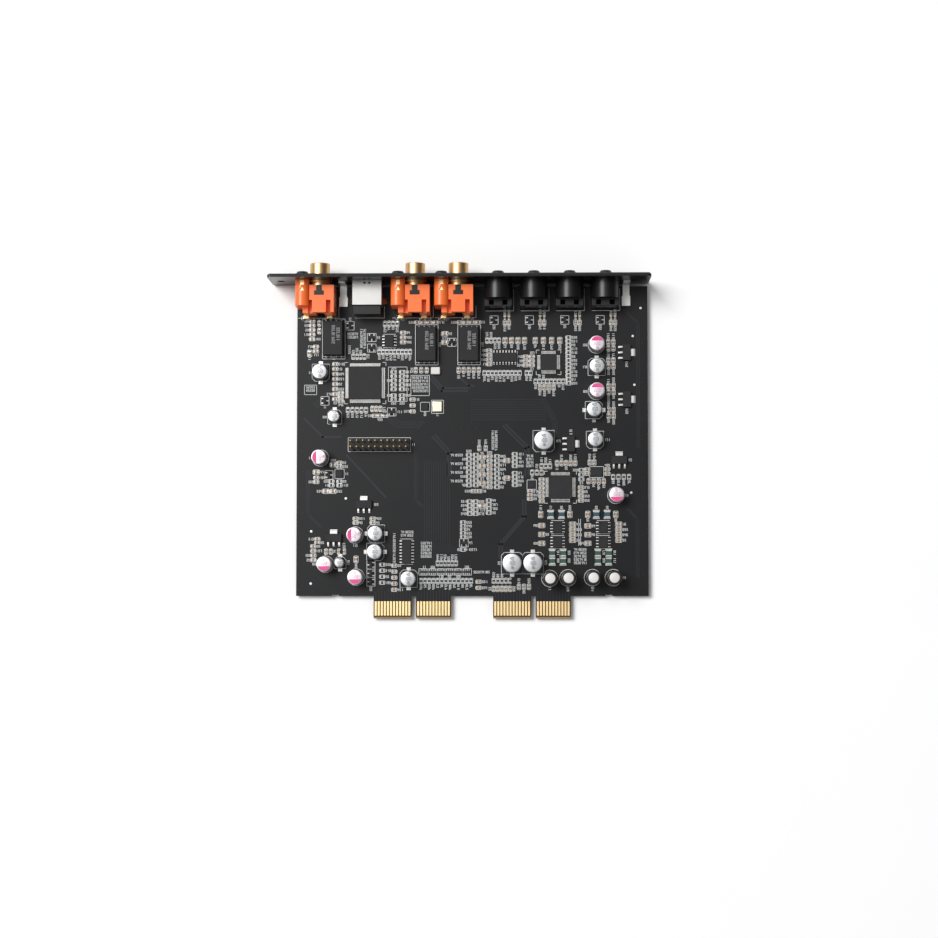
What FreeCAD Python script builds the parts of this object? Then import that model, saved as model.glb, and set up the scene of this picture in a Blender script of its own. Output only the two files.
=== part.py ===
import FreeCAD, Part
import math
import os

# Plug-in audio converter card. Millimetres. X runs along the rear panel, +Y points from the
# card-edge tongues towards the panel, +Z points up from the component side. The origin is the
# middle of the board's front edge, between the tongues, at the board's mid-plane.

# Board
board_width = 146.2
board_depth = 129.0
board_thickness = 1.6
lead_hole_clearance = 0.15
lead_length_below = 1.0
tab_mark_depth = 0.5
tab_mark_width = 3.0

# Card-edge tongues and their gold contacts
tongue_length = 9.3
tongue_width = 32.1
tongue_spacing = 49.6
key_slot_width = 1.9
key_slot_offset = 0.6
tongue_bevel_length = 1.2
tongue_bevel_depth = 0.4
contact_pitch = 1.27
contact_width = 0.85
contact_length = 5.9
contact_thickness = 0.06
contact_count_before_key = 12
contact_count_after_key = 11

# Rear panel
panel_thickness = 1.5
panel_height = 24.0
panel_below_board = 1.4
panel_gap = 1.25
panel_overhang_left = 10.4
panel_overhang_right = 0.5
panel_corner_radius = 1.5
panel_edge_chamfer = 0.6
panel_hole_radius = 1.65
panel_hole_from_end = 4.6
cutout_clearance = 0.2

# Panel screws
screw_shank_radius = 1.25
screw_length = 8.0
screw_head_radius = 2.8
screw_head_height = 2.3
screw_head_rim = 0.9
screw_socket_radius = 1.0
screw_socket_depth = 1.2
screw_hole_clearance = 0.05
screw_panel_clearance = 0.35
screw_axis_height = 12.0

# Coaxial jacks
coax_axis_height = 8.4
coax_shell_radius = 4.1
coax_shell_wall = 0.5
coax_shell_reach = 5.8
coax_shoulder_radius = 4.3
coax_flange_radius = 5.0
coax_flange_thickness = 0.8
coax_body_front = 2.1
coax_body_rear = 13.4
coax_body_left = 4.0
coax_body_right = 6.1
coax_body_height = 13.0
coax_bore_depth = 6.0
coax_ear_radius = 2.95
coax_ear_offset = 7.0
coax_ear_rear = 10.7
coax_heel_left = 7.0
coax_heel_height = 10.5
coax_insulator_recess = 1.2
coax_contact_radius = 2.0
coax_contact_wall = 0.4
coax_contact_recess = 0.5
coax_tail_radius = 0.5
coax_tail_setback = 11.5
coax_arch_width = 3.4
coax_window_width = 1.9
coax_window_length = 5.1
coax_window_depth = 4.0
coax_window_offset = 3.8
coax_lock_stem_width = 2.3
coax_lock_bar_width = 4.0
coax_lock_stem_length = 2.4
coax_lock_bar_length = 1.7
coax_lock_depth = 0.45
coax_lock_recess = 0.1
coax_clip_width = 1.9
coax_clip_thickness = 0.5
coax_clip_length = 6.0
coax_clip_skin = 0.8
coax_leg_width = 2.2
coax_leg_thickness = 0.5
coax_leg_height = 2.0
coax_leg_reach = 1.2
coax_leg_left = 6.4
coax_leg_right = 3.4
moulding_clearance = 0.05

# USB socket
usb_width = 12.0
usb_height = 10.9
usb_wall = 0.35
usb_reach = 0.4
usb_shield_rear = 10.1
usb_block_rear = 13.9
usb_block_height = 9.6
usb_block_width = 11.2
usb_front_recess = 0.3
usb_port_width = 8.45
usb_port_height = 7.8
usb_port_chamfer = 1.7
usb_port_depth = 9.0
usb_tongue_width = 5.6
usb_tongue_height = 3.2
usb_tongue_recess = 1.0
usb_contact_width = 1.0
usb_contact_thickness = 0.25
usb_contact_pitch = 2.5
usb_row_pitch = 2.0
usb_lock_width = 2.4
usb_lock_bow = 1.6
usb_lock_height = 3.6
usb_lock_gap = 0.4
usb_dimple_radius = 0.5
usb_dimple_spacing = 2.0

# Optical sockets
optical_count = 4
optical_width = 11.2
optical_height = 14.8
optical_vault_rear = 7.6
optical_rear = 10.6
optical_ledge_height = 9.6
optical_snout_width = 9.6
optical_snout_height = 9.4
optical_snout_base = 0.4
optical_port_side = 8.1
optical_port_chamfer = 1.6
optical_port_depth = 6.4
optical_wall = 1.0
optical_pocket_side = 2.1
optical_pocket_depth = 1.0
optical_pocket_offset = 2.8
optical_guide_radius = 2.3
optical_guide_bore = 1.3
optical_guide_length = 4.6
optical_receiver_width = 7.0
optical_receiver_height = 8.0
optical_lead_side = 0.5
optical_lead_pitch = 2.54

# Ground brackets
bracket_width = 2.9
bracket_thickness = 0.8
bracket_height = 9.0
bracket_foot_width = 3.6
bracket_foot_length = 4.2
bracket_strip_length = 5.4

# Pin header
header_pitch = 2.54
header_columns = 10
header_rows = 2
header_strip_height = 2.54
header_notch = 0.6
header_pin_side = 0.64
header_pin_height = 8.5
header_pin_tip = 0.5
header_pin_clearance = 0.02

# Surface-mounted can capacitors: can diameter, can height, base side
small_can = (4.0, 5.4, 4.3)
low_can = (5.0, 5.4, 5.3)
silver_can = (6.3, 5.8, 6.6)
large_can = (8.0, 6.7, 8.3)
can_base_height = 1.0
can_base_chamfer = 1.2
can_base_lip = 0.6
can_rim = 0.35
can_groove_height = 1.9
can_groove_width = 0.8
can_groove_depth = 0.25
can_pair_gap = 0.3
can_tab_width = 0.9
can_tab_reach = 0.8
can_tab_thickness = 0.25

# Upright capacitors, with leads through the board
polymer_diameter = 6.3
polymer_height = 7.7
polymer_seal = 0.5
sleeve_diameter = 6.3
sleeve_height = 11.0
sleeve_lip = 0.9
sleeve_dish = 0.25
upright_lead_pitch = 2.5
upright_lead_radius = 0.3

# Chips: body length along the lead rows, body width, body height
large_quad = (14.0, 14.0, 1.4)
medium_quad = (10.0, 10.0, 1.2)
small_quad = (7.0, 7.0, 1.2)
sixteen_pin = (9.9, 3.9, 1.5)
eight_pin = (4.9, 3.9, 1.5)
leadless = (5.0, 3.6, 0.9)
small_leadless = (3.0, 3.0, 0.9)
six_pin = (2.9, 2.9, 1.1)
chip_draft = 0.15
lead_pitch = 1.27
lead_width = 0.42
lead_thickness = 0.2
lead_reach = 1.05
lead_foot = 0.55

# Transistors: body as for the chips, one lead in front and two behind
transistor = (2.9, 1.3, 1.0)
transistor_lead_pitch = 1.9
transistor_lead_reach = 0.8

# Regulators
regulator_length = 6.5
regulator_width = 3.5
regulator_height = 1.6
regulator_lead_pitch = 2.3
regulator_lead_width = 0.75
regulator_tab_width = 3.0
regulator_lead_reach = 1.75

# Pulse transformers and the clock oscillator
transformer_width = 8.6
transformer_length = 14.2
transformer_height = 4.6
transformer_chamfer = 0.5
transformer_leads = 4
transformer_lead_reach = 0.7
transformer_clearance = 0.6
oscillator_width = 4.1
oscillator_length = 4.5
oscillator_height = 1.3
oscillator_base_height = 0.5
oscillator_lid_inset = 0.25

# Small chip parts: length over the end caps, width, height
small_chip = (1.6, 0.8, 0.5)
large_chip = (2.0, 1.25, 0.7)
resistor_array = (3.0, 1.6, 0.6)

# Film capacitors round the amplifiers, their ends to the front and the rear
film_length = 3.0
film_width = 2.5
film_height = 1.4
film_gap = 2.0
film_row_gap = 0.25

# The layout below was drawn for a board of this size; its places stretch with the board.
layout_width = 146.2
layout_depth = 129.0

coax_places = (-62.8, -23.3, -5.4)
usb_place = -43.2
optical_places = (11.0, 25.75, 40.5, 55.25)
right_bracket_place = 64.2
header_place = (-38.6, 62.95)
tab_mark_places = (-56.9, 56.6)

# Each can with the way its base's cut corners face, in degrees from +Y
silver_can_places = (
    (-39.9, 25.9, 90), (-40.2, 18.3, 270), (-26.3, 7.2, 0),
    (51.1, 64.8, 180), (51.9, 95.2, 0), (50.7, 77.2, 270),
)
# One more of these stands in front of the first transformer
transformer_can_column = -63.2
transformer_can_gap = 3.05
low_can_places = ((-57.3, 74.5, 0),)
small_can_places = ((-54.8, 13.8, 0),)
large_can_place = (29.8, 64.3, 180)
polymer_can_places = (
    (-63.2, 57.4), (-48.6, 25.3), (-60.9, 13.2), (-48.1, 7.8),
    (51.8, 104.4), (51.8, 85.0), (59.7, 41.7),
)

large_quad_place = (-44.6, 88.7)
medium_quad_place = (36.7, 45.1)
small_quad_place = (31.9, 97.2)
sixteen_pin_places = ((13.6, 99.3, 0), (-27.1, 18.4, 90))
eight_pin_place = (-34.5, 106.4)
leadless_place = (51.7, 51.4)
small_leadless_places = ((24.8, 46.2), (-55.2, 50.8))
six_pin_place = (-19.6, 78.7)
oscillator_place = (-14.4, 78.7)
# Each transistor with the turn of its single lead, in degrees from -Y
transistor_places = (
    (-51.0, 112.8, 90), (-41.9, 107.8, 0), (-41.9, 103.4, 180), (-8.4, 105.7, 0), (-61.4, 81.3, 90),
    (-33.5, 76.6, 180), (-59.6, 50.3, 90), (-3.4, 22.0, 180),
    (-42.0, 12.9, 270), (-42.0, 9.4, 270), (-42.0, 5.9, 270),
)
# Each regulator with the direction its tab points, in degrees from +X
regulator_places = (
    (64.4, 101.2, 0), (64.4, 81.6, 0), (41.1, 63.1, 0),
    (61.1, 56.4, 90), (-45.0, 38.0, 90), (-57.5, 24.1, 90),
)
# Each transformer's column and its distance behind the coaxial jacks' legs
transformer_places = ((-57.8, 0.0), (-18.9, 2.6), (-1.2, 2.6))

# Fields of small chips: first place, pitch across and along, how many across and along, long side's axis
chip_resistor_fields = (
    ((-49.6, 99.8), (1.55, 0), (4, 1), "y"), ((-36.4, 113.5), (1.7, 0), (4, 1), "y"),
    ((-32.7, 93.3), (3.5, -1.8), (2, 5), "x"), ((-32.7, 83.5), (3.5, -1.7), (2, 2), "x"),
    ((-38.7, 101.7), (1.6, 0), (9, 1), "y"), ((-51.8, 77.4), (1.9, 0), (5, 1), "y"),
    ((6.3, 106.4), (1.65, 0), (4, 1), "y"), ((5.2, 92.7), (1.63, 0), (10, 1), "y"),
    ((22.8, 92.7), (1.6, 0), (2, 1), "y"), ((26.5, 89.2), (1.63, 0), (8, 1), "y"),
    ((40.2, 107.6), (0, -1.6), (1, 13), "x"), ((-58.6, 47.6), (3.4, -1.6), (2, 2), "x"),
    ((-1.3, 58.6), (2.9, -1.8), (2, 8), "x"), ((10.4, 58.0), (0, -1.83), (1, 8), "x"),
    ((17.8, 58.9), (0, -1.65), (1, 4), "x"), ((17.8, 51.0), (0, -1.65), (1, 4), "x"),
    ((-1.0, 39.2), (2.5, -1.7), (2, 4), "x"), ((7.0, 39.6), (0, -1.7), (1, 4), "x"),
    ((-3.7, 30.5), (0, -1.5), (1, 5), "x"), ((-3.7, 19.2), (2.1, 0), (2, 1), "x"),
    ((25.0, 51.2), (1.95, 0), (3, 1), "y"), ((28.9, 53.9), (1.75, 0), (3, 1), "y"),
    ((45.4, 52.2), (0, -1.9), (1, 3), "x"), ((58.6, 49.3), (2.2, 0), (4, 1), "y"),
    ((-14.2, 13.6), (1.5, 0), (6, 1), "y"), ((-21.2, 6.2), (1.73, 0), (13, 1), "y"),
    ((9.0, 6.3), (1.7, 0), (5, 1), "y"), ((-37.3, 13.0), (0, -2.5), (1, 4), "x"),
)
chip_capacitor_fields = (
    ((-66.9, 114.8), (0, -1.9), (1, 5), "x"), ((-63.9, 113.9), (0, -3.3), (1, 2), "y"),
    ((-65.3, 104.0), (0, -1.9), (1, 2), "x"), ((-57.1, 96.7), (0, -2.1), (1, 8), "x"),
    ((-54.8, 84.6), (0, -1.7), (1, 3), "x"), ((-28.8, 109.8), (0, -2.0), (1, 3), "x"),
    ((-22.9, 114.1), (2.6, 0), (4, 1), "x"), ((-5.2, 114.1), (2.6, 0), (4, 1), "x"),
    ((-41.6, 77.9), (1.7, 0), (3, 1), "y"), ((-40.6, 75.0), (2.2, 0), (3, 1), "x"),
    ((-24.8, 81.8), (0, -2.5), (1, 3), "x"), ((7.1, 102.2), (0, -1.9), (1, 4), "x"),
    ((22.3, 99.6), (2.6, -1.8), (2, 3), "x"), ((28.3, 86.6), (1.9, 0), (4, 1), "y"),
    ((56.8, 105.6), (2.1, -2.6), (2, 2), "y"), ((56.8, 98.0), (2.1, -2.6), (2, 2), "y"),
    ((56.8, 87.2), (2.1, -2.6), (2, 2), "y"), ((56.8, 77.3), (2.1, -2.6), (2, 2), "y"),
    ((-55.3, 55.4), (0, -1.6), (1, 2), "x"), ((-64.9, 49.2), (0, -1.8), (1, 2), "x"),
    ((3.0, 61.4), (2.7, 0), (2, 1), "y"), ((7.3, 58.0), (0, -1.83), (1, 8), "x"),
    ((0.6, 43.5), (2.4, 0), (2, 1), "x"), ((24.1, 43.4), (0, -1.55), (1, 3), "x"),
    ((28.9, 48.3), (0, -1.8), (1, 6), "x"), ((35.3, 55.1), (1.9, 0), (5, 1), "y"),
    ((45.2, 45.0), (0, -1.8), (1, 4), "x"), ((47.8, 52.4), (0, -1.7), (1, 2), "x"),
    ((48.9, 55.4), (1.9, 0), (2, 1), "y"), ((48.4, 47.6), (2.1, 0), (4, 1), "y"),
    ((56.2, 52.6), (0, -1.9), (1, 2), "x"), ((-48.4, 32.1), (7.1, -1.7), (2, 2), "x"),
    ((-66.0, 20.6), (0, -1.9), (1, 4), "x"), ((-64.4, 23.6), (0, -1.5), (1, 2), "x"),
    ((-60.7, 18.4), (2.0, 0), (2, 1), "y"), ((-55.3, 18.4), (2.1, 0), (2, 1), "y"),
    ((-32.3, 12.6), (0, -2.5), (1, 5), "x"), ((2.7, 5.9), (0, -2.5), (1, 2), "x"),
    ((9.0, 3.0), (1.7, 0), (5, 1), "y"), ((19.4, 3.8), (2.1, 0), (3, 1), "y"),
)
large_chip_fields = (
    ((13.8, 106.3), (2.7, 0), (4, 1), "y"), ((26.4, 106.3), (3.4, 0), (4, 1), "y"),
    ((4.2, 57.5), (0, -3.57), (1, 4), "x"), ((14.4, 56.2), (0, -7.3), (1, 2), "x"),
    ((-11.4, 109.3), (0, -3.6), (1, 2), "x"), ((-67.9, 101.2), (0, 0), (1, 1), "y"),
    ((-57.8, 54.6), (0, 0), (1, 1), "x"), ((-64.9, 51.5), (0, 0), (1, 1), "x"),
    ((-60.9, 43.5), (3.0, 0), (2, 1), "x"), ((4.3, 37.3), (0, 0), (1, 1), "x"),
    ((-48.2, 15.2), (0, 0), (1, 1), "y"),
)
resistor_array_fields = (((-20.0, 10.0), (3.54, 0), (6, 1), "x"),)
# Chips in front of the second and the third transformer: first column, step, how many
transformer_chip_rows = ((-23.5, 2.3, 3), (-5.6, 2.1, 5))
transformer_chip_gap = 2.0
# Chips and a transistor before each optical socket: distances from its middle and from the panel
optical_chip_offsets = (2.7, 4.4)
optical_chip_setbacks = (14.45, 16.45)
optical_transistor_offset = -1.8
optical_transistor_setback = 15.3

# The output stage is one block: its pieces keep their distances from the block's middle.
output_place = (45.0, 18.0)
amplifier_columns = (-9.5, 9.4)
amplifier_rows = (10.5, 4.3)
film_rear_row = 15.8
film_front_row = -0.25
film_rear_shift = -0.6
output_chip_fields = (
    ((-16.1, 11.2), (0, -3.7), (1, 3), "x"), ((-3.3, 11.7), (0, -2.2), (1, 4), "x"),
    ((3.0, 11.0), (0, -3.6), (1, 3), "x"), ((15.8, 11.7), (0, -2.2), (1, 4), "x"),
    ((-16.5, 15.8), (12.1, 0), (2, 1), "y"), ((3.0, 15.8), (11.6, 0), (2, 1), "y"),
)
sleeve_offsets = ((-12.8, -10.7), (-5.3, -10.5), (4.9, -10.4), (13.5, -10.4))
large_pair_offset = (-24.1, -4.4)

# Levels and planes that the pieces share
top = board_thickness / 2
underside = -board_thickness / 2
lead_end = underside - lead_length_below
panel_inner = board_depth + panel_gap
panel_outer = panel_inner + panel_thickness
panel_left = -board_width / 2 - panel_overhang_left
panel_right = board_width / 2 + panel_overhang_right
panel_bottom = underside - panel_below_board
panel_top = panel_bottom + panel_height
screw_z = top + screw_axis_height
coax_z = top + coax_axis_height
coax_leg_end = panel_inner - coax_body_rear - coax_leg_reach
transformer_rear = coax_leg_end - transformer_clearance - transformer_lead_reach


def along(x):
    """X of a layout column, stretched with the board."""
    return x * board_width / layout_width


def placed(x, y):
    """Point of the layout, stretched with the board in front of the coaxial jacks' legs."""
    drawn_legs = coax_leg_end - board_depth + layout_depth
    return along(x), y * coax_leg_end / drawn_legs


def in_output_stage(dx, dy):
    """Point of the output stage, at a distance from its middle."""
    x, y = placed(*output_place)
    return x + dx, y + dy


coax_columns = [along(x) for x in coax_places]
usb_column = along(usb_place)
optical_columns = [along(x) for x in optical_places]
screw_columns = [x - coax_ear_offset for x in coax_columns] + optical_columns


def vector(x, y, z):
    return FreeCAD.Vector(x, y, z)


def block(x0, x1, y0, y1, z0, z1):
    """Box between two corners."""
    return Part.makeBox(x1 - x0, y1 - y0, z1 - z0, vector(x0, y0, z0))


def rod_along_y(radius, x, z, y0, y1):
    return Part.makeCylinder(radius, y1 - y0, vector(x, y0, z), vector(0, 1, 0))


def rod_along_z(radius, x, y, z0, z1):
    return Part.makeCylinder(radius, z1 - z0, vector(x, y, z0), vector(0, 0, 1))


def prism(points, direction):
    """Straight-sided solid on a flat outline."""
    outline = Part.makePolygon([vector(*point) for point in points + points[:1]])
    return Part.Face(outline).extrude(vector(*direction))


def turned(profile, x, y, z, axis):
    """Solid of revolution: the profile's radius and height about a point on an axis."""
    points = [vector(radius, 0, height) for radius, height in profile]
    outline = Part.makePolygon(points + points[:1])
    solid = Part.Face(outline).revolve(vector(0, 0, 0), vector(0, 0, 1), 360)
    solid.Placement = FreeCAD.Placement(vector(x, y, z), FreeCAD.Rotation(vector(0, 0, 1), vector(*axis)))
    return solid


def spun(solid, x, y, degrees):
    """Solid made at the origin, turned about Z and set on the board."""
    return solid.rotated(vector(0, 0, 0), vector(0, 0, 1), degrees).translated(vector(x, y, top))


def fused(solids):
    return solids[0].fuse(solids[1:]).removeSplitter()


def cut(solid, tools):
    return solid.cut(tools).removeSplitter()


def save(name, solids):
    """One STEP file per node, with each piece in it a solid of its own."""
    pieces = [piece for shape in solids for piece in shape.Solids]
    shape = pieces[0] if len(pieces) == 1 else Part.makeCompound(pieces)
    shape.exportStep("parts/" + name + ".step")


# Places where leads pass through the board

def coax_tail_holes():
    y = panel_inner - coax_tail_setback
    return [rod_along_z(coax_tail_radius + lead_hole_clearance, x, y, underside, top) for x in coax_columns]


def coax_leg_columns(x):
    return x - coax_leg_left, x + coax_leg_right


def coax_leg_slots():
    y1 = panel_inner - coax_body_rear - coax_leg_reach + coax_leg_thickness + lead_hole_clearance
    y0 = panel_inner - coax_body_rear - coax_leg_reach - lead_hole_clearance
    half = coax_leg_width / 2 + lead_hole_clearance
    columns = [leg for x in coax_columns for leg in coax_leg_columns(x)]
    return [block(x - half, x + half, y0, y1, underside, top) for x in columns]


def usb_contact_tails():
    """Column, row and tongue side of each USB contact."""
    y_front = panel_inner - (usb_shield_rear + usb_block_rear) / 2 + usb_row_pitch / 2
    tails = []
    for row, side in ((y_front, -1), (y_front - usb_row_pitch, 1)):
        for column in (-0.5, 0.5):
            tails.append((usb_column + column * usb_contact_pitch, row, side))
    return tails


def usb_tail_holes():
    radius = math.hypot(usb_contact_width, usb_contact_thickness) / 2 + lead_hole_clearance
    return [rod_along_z(radius, x, y, underside, top) for x, y, side in usb_contact_tails()]


def usb_lock_row():
    return panel_inner - usb_shield_rear + usb_lock_width


def usb_lock_slots():
    y0 = usb_lock_row() - usb_lock_width / 2 - lead_hole_clearance
    y1 = usb_lock_row() + usb_lock_width / 2 + lead_hole_clearance
    slots = []
    for side in (-1, 1):
        foot = usb_width / 2 + usb_lock_gap
        inner = usb_column + side * (foot - lead_hole_clearance)
        outer = usb_column + side * (foot + usb_wall + lead_hole_clearance)
        slots.append(block(min(inner, outer), max(inner, outer), y0, y1, underside, top))
    return slots


def optical_lead_columns(x):
    return [x + step * optical_lead_pitch for step in (-1, 0, 1)]


optical_lead_row = panel_inner - (optical_port_depth + optical_wall + optical_rear) / 2


def optical_lead_holes():
    radius = optical_lead_side * math.sqrt(0.5) + lead_hole_clearance
    columns = [lead for x in optical_columns for lead in optical_lead_columns(x)]
    return [rod_along_z(radius, x, optical_lead_row, underside, top) for x in columns]


def header_pin_places():
    middle_x, middle_y = placed(*header_place)
    places = []
    for row in range(header_rows):
        for column in range(header_columns):
            x = middle_x + (column - (header_columns - 1) / 2) * header_pitch
            y = middle_y + (row - (header_rows - 1) / 2) * header_pitch
            places.append((x, y))
    return places


def header_pin_holes():
    radius = header_pin_side * math.sqrt(0.5) + lead_hole_clearance
    return [rod_along_z(radius, x, y, underside, top) for x, y in header_pin_places()]


def sleeve_places():
    return [in_output_stage(dx, dy) for dx, dy in sleeve_offsets]


def polymer_places():
    return [placed(x, y) for x, y in polymer_can_places]


def upright_lead_places():
    places = []
    for x, y in sleeve_places() + polymer_places():
        places += [(x - upright_lead_pitch / 2, y), (x + upright_lead_pitch / 2, y)]
    return places


def upright_lead_holes():
    radius = upright_lead_radius + lead_hole_clearance
    return [rod_along_z(radius, x, y, underside, top) for x, y in upright_lead_places()]


# Board and edge contacts

def tongue_middles():
    return -tongue_spacing / 2, tongue_spacing / 2


def tongue_parts(middle):
    """Left and right end of the two parts of a tongue, either side of its key slot."""
    key = middle + key_slot_offset
    left = (middle - tongue_width / 2, key - key_slot_width / 2)
    right = (key + key_slot_width / 2, middle + tongue_width / 2)
    return left, right


def board_outline():
    half = board_width / 2
    points = [(-half, board_depth), (-half, 0)]
    for middle in tongue_middles():
        for left, right in tongue_parts(middle):
            points += [(left, 0), (left, -tongue_length), (right, -tongue_length), (right, 0)]
    points += [(half, 0), (half, board_depth)]
    return [(x, y, underside) for x, y in points]


def tongue_bevels():
    """Wedges that take the insertion edges off both faces of the tongues."""
    wedges = []
    for face, inward in ((top, -1), (underside, 1)):
        tip = -tongue_length
        profile = [
            (-board_width / 2, tip, face),
            (-board_width / 2, tip + tongue_bevel_length, face),
            (-board_width / 2, tip, face + inward * tongue_bevel_depth),
        ]
        wedges.append(prism(profile, (board_width, 0, 0)))
    return wedges


def tab_marks():
    """Shallow bites where the board was broken out of its production panel."""
    half = tab_mark_width / 2
    columns = [along(x) for x in tab_mark_places]
    return [block(x - half, x + half, 0, tab_mark_depth, underside, top) for x in columns]


def make_board():
    board = prism(board_outline(), (0, 0, board_thickness))
    holes = coax_tail_holes() + coax_leg_slots() + usb_tail_holes() + usb_lock_slots()
    holes += optical_lead_holes() + header_pin_holes() + upright_lead_holes()
    return cut(board, tongue_bevels() + tab_marks() + holes)


def contact_columns(middle):
    columns = []
    counts = (contact_count_before_key, contact_count_after_key)
    for (left, right), count in zip(tongue_parts(middle), counts):
        first = (left + right) / 2 - (count - 1) / 2 * contact_pitch
        columns += [first + step * contact_pitch for step in range(count)]
    return columns


def make_edge_contacts(z0, z1):
    y0 = -tongue_length + tongue_bevel_length
    half = contact_width / 2
    columns = [x for middle in tongue_middles() for x in contact_columns(middle)]
    return [block(x - half, x + half, y0, y0 + contact_length, z0, z1) for x in columns]


# Rear panel, its screws and brackets

def usb_cutout():
    half = usb_width / 2 + cutout_clearance
    z0 = top - cutout_clearance
    z1 = top + usb_height + cutout_clearance
    return block(usb_column - half, usb_column + half, panel_inner, panel_outer, z0, z1)


def optical_cutout(x):
    half = optical_snout_width / 2 + cutout_clearance
    z0 = top + optical_snout_base - cutout_clearance
    z1 = top + optical_snout_base + optical_snout_height + cutout_clearance
    return block(x - half, x + half, panel_inner, panel_outer, z0, z1)


def make_panel():
    plate = block(panel_left, panel_right, panel_inner, panel_outer, panel_bottom, panel_top)
    corners = [edge for edge in plate.Edges if abs(edge.tangentAt(edge.FirstParameter).y) > 0.9]
    plate = plate.makeFillet(panel_corner_radius, corners)
    rim = [edge for edge in plate.Edges if edge.BoundBox.YMin > panel_outer - 1e-6]
    plate = plate.makeChamfer(panel_edge_chamfer, rim)
    hole = coax_shoulder_radius + cutout_clearance
    cuts = [rod_along_y(hole, x, coax_z, panel_inner, panel_outer) for x in coax_columns]
    hole = screw_shank_radius + screw_panel_clearance
    cuts += [rod_along_y(hole, x, screw_z, panel_inner, panel_outer) for x in screw_columns]
    cuts += [usb_cutout()] + [optical_cutout(x) for x in optical_columns]
    fixing_x = panel_left + panel_hole_from_end
    fixing_z = (panel_bottom + panel_top) / 2
    cuts.append(rod_along_y(panel_hole_radius, fixing_x, fixing_z, panel_inner, panel_outer))
    return cut(plate, cuts)


def make_screw(x):
    """Pan-head screw with a hexagon socket, its head on the panel's outer face."""
    shoulder = screw_head_height - (screw_head_height - screw_head_rim) * 0.25
    profile = [
        (0, -screw_length), (screw_shank_radius, -screw_length), (screw_shank_radius, 0),
        (screw_head_radius, 0), (screw_head_radius, screw_head_rim),
        (screw_head_radius * 0.75, shoulder), (0, screw_head_height),
    ]
    screw = turned(profile, x, panel_outer, screw_z, (0, 1, 0))
    corners = []
    for step in range(6):
        angle = math.radians(60 * step)
        corner_x = x + screw_socket_radius * math.cos(angle)
        corner_z = screw_z + screw_socket_radius * math.sin(angle)
        corners.append((corner_x, panel_outer + screw_head_height - screw_socket_depth, corner_z))
    return cut(screw, [prism(corners, (0, screw_socket_depth, 0))])


def left_bracket_column():
    """Midway between the first coaxial jack and the USB socket's board lock."""
    jack_side = coax_columns[0] + coax_body_right
    usb_side = usb_column - usb_width / 2 - usb_lock_bow
    return (jack_side + usb_side) / 2


def make_bracket(x):
    """Bent strip: upright on the panel's inner face, foot soldered to the board."""
    half = bracket_width / 2
    bend = panel_inner - bracket_strip_length
    z1 = top + bracket_thickness
    strip = block(x - half, x + half, bend, panel_inner, top, z1)
    face = panel_inner - bracket_thickness
    upright = block(x - half, x + half, face, panel_inner, top, top + bracket_height)
    half_foot = bracket_foot_width / 2
    foot = block(x - half_foot, x + half_foot, bend - bracket_foot_length, bend, top, z1)
    return fused([strip, upright, foot])


# Coaxial jacks

def coax_arch(x):
    """Arched hollow at the back of the housing, for the centre contact's tail."""
    half = coax_arch_width / 2
    y0 = panel_inner - coax_body_rear
    y1 = panel_inner - coax_body_front - coax_bore_depth
    return fused([block(x - half, x + half, y0, y1, top, coax_z), rod_along_y(half, x, coax_z, y0, y1)])


def coax_lock_outline(x, margin):
    """T outline of the lock, seen from above, grown by a margin."""
    front = panel_inner - coax_body_front
    neck = front - coax_lock_stem_length + margin
    end = front - coax_lock_stem_length - coax_lock_bar_length - margin
    stem = coax_lock_stem_width / 2 + margin
    bar = coax_lock_bar_width / 2 + margin
    return [
        (x - stem, front), (x - stem, neck), (x - bar, neck), (x - bar, end),
        (x + bar, end), (x + bar, neck), (x + stem, neck), (x + stem, front),
    ]


def coax_clip_top():
    """Height of the clip under the ear's skin."""
    return screw_z + coax_ear_radius - coax_clip_skin


def coax_clip_windows(x):
    """Square and three-cornered windows in the ear, through which the clip shows."""
    half = coax_clip_width / 2
    z = coax_clip_top()
    square_start = panel_inner - 0.4 * half
    square_end = square_start - coax_clip_width
    square = block(x - half, x + half, square_end, square_start, z, z + coax_ear_radius)
    tip = square_end - 0.5 * half
    base = tip - coax_clip_width
    triangle = prism([(x, tip, z), (x - half, base, z), (x + half, base, z)], (0, 0, coax_ear_radius))
    return [square, triangle]


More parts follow.
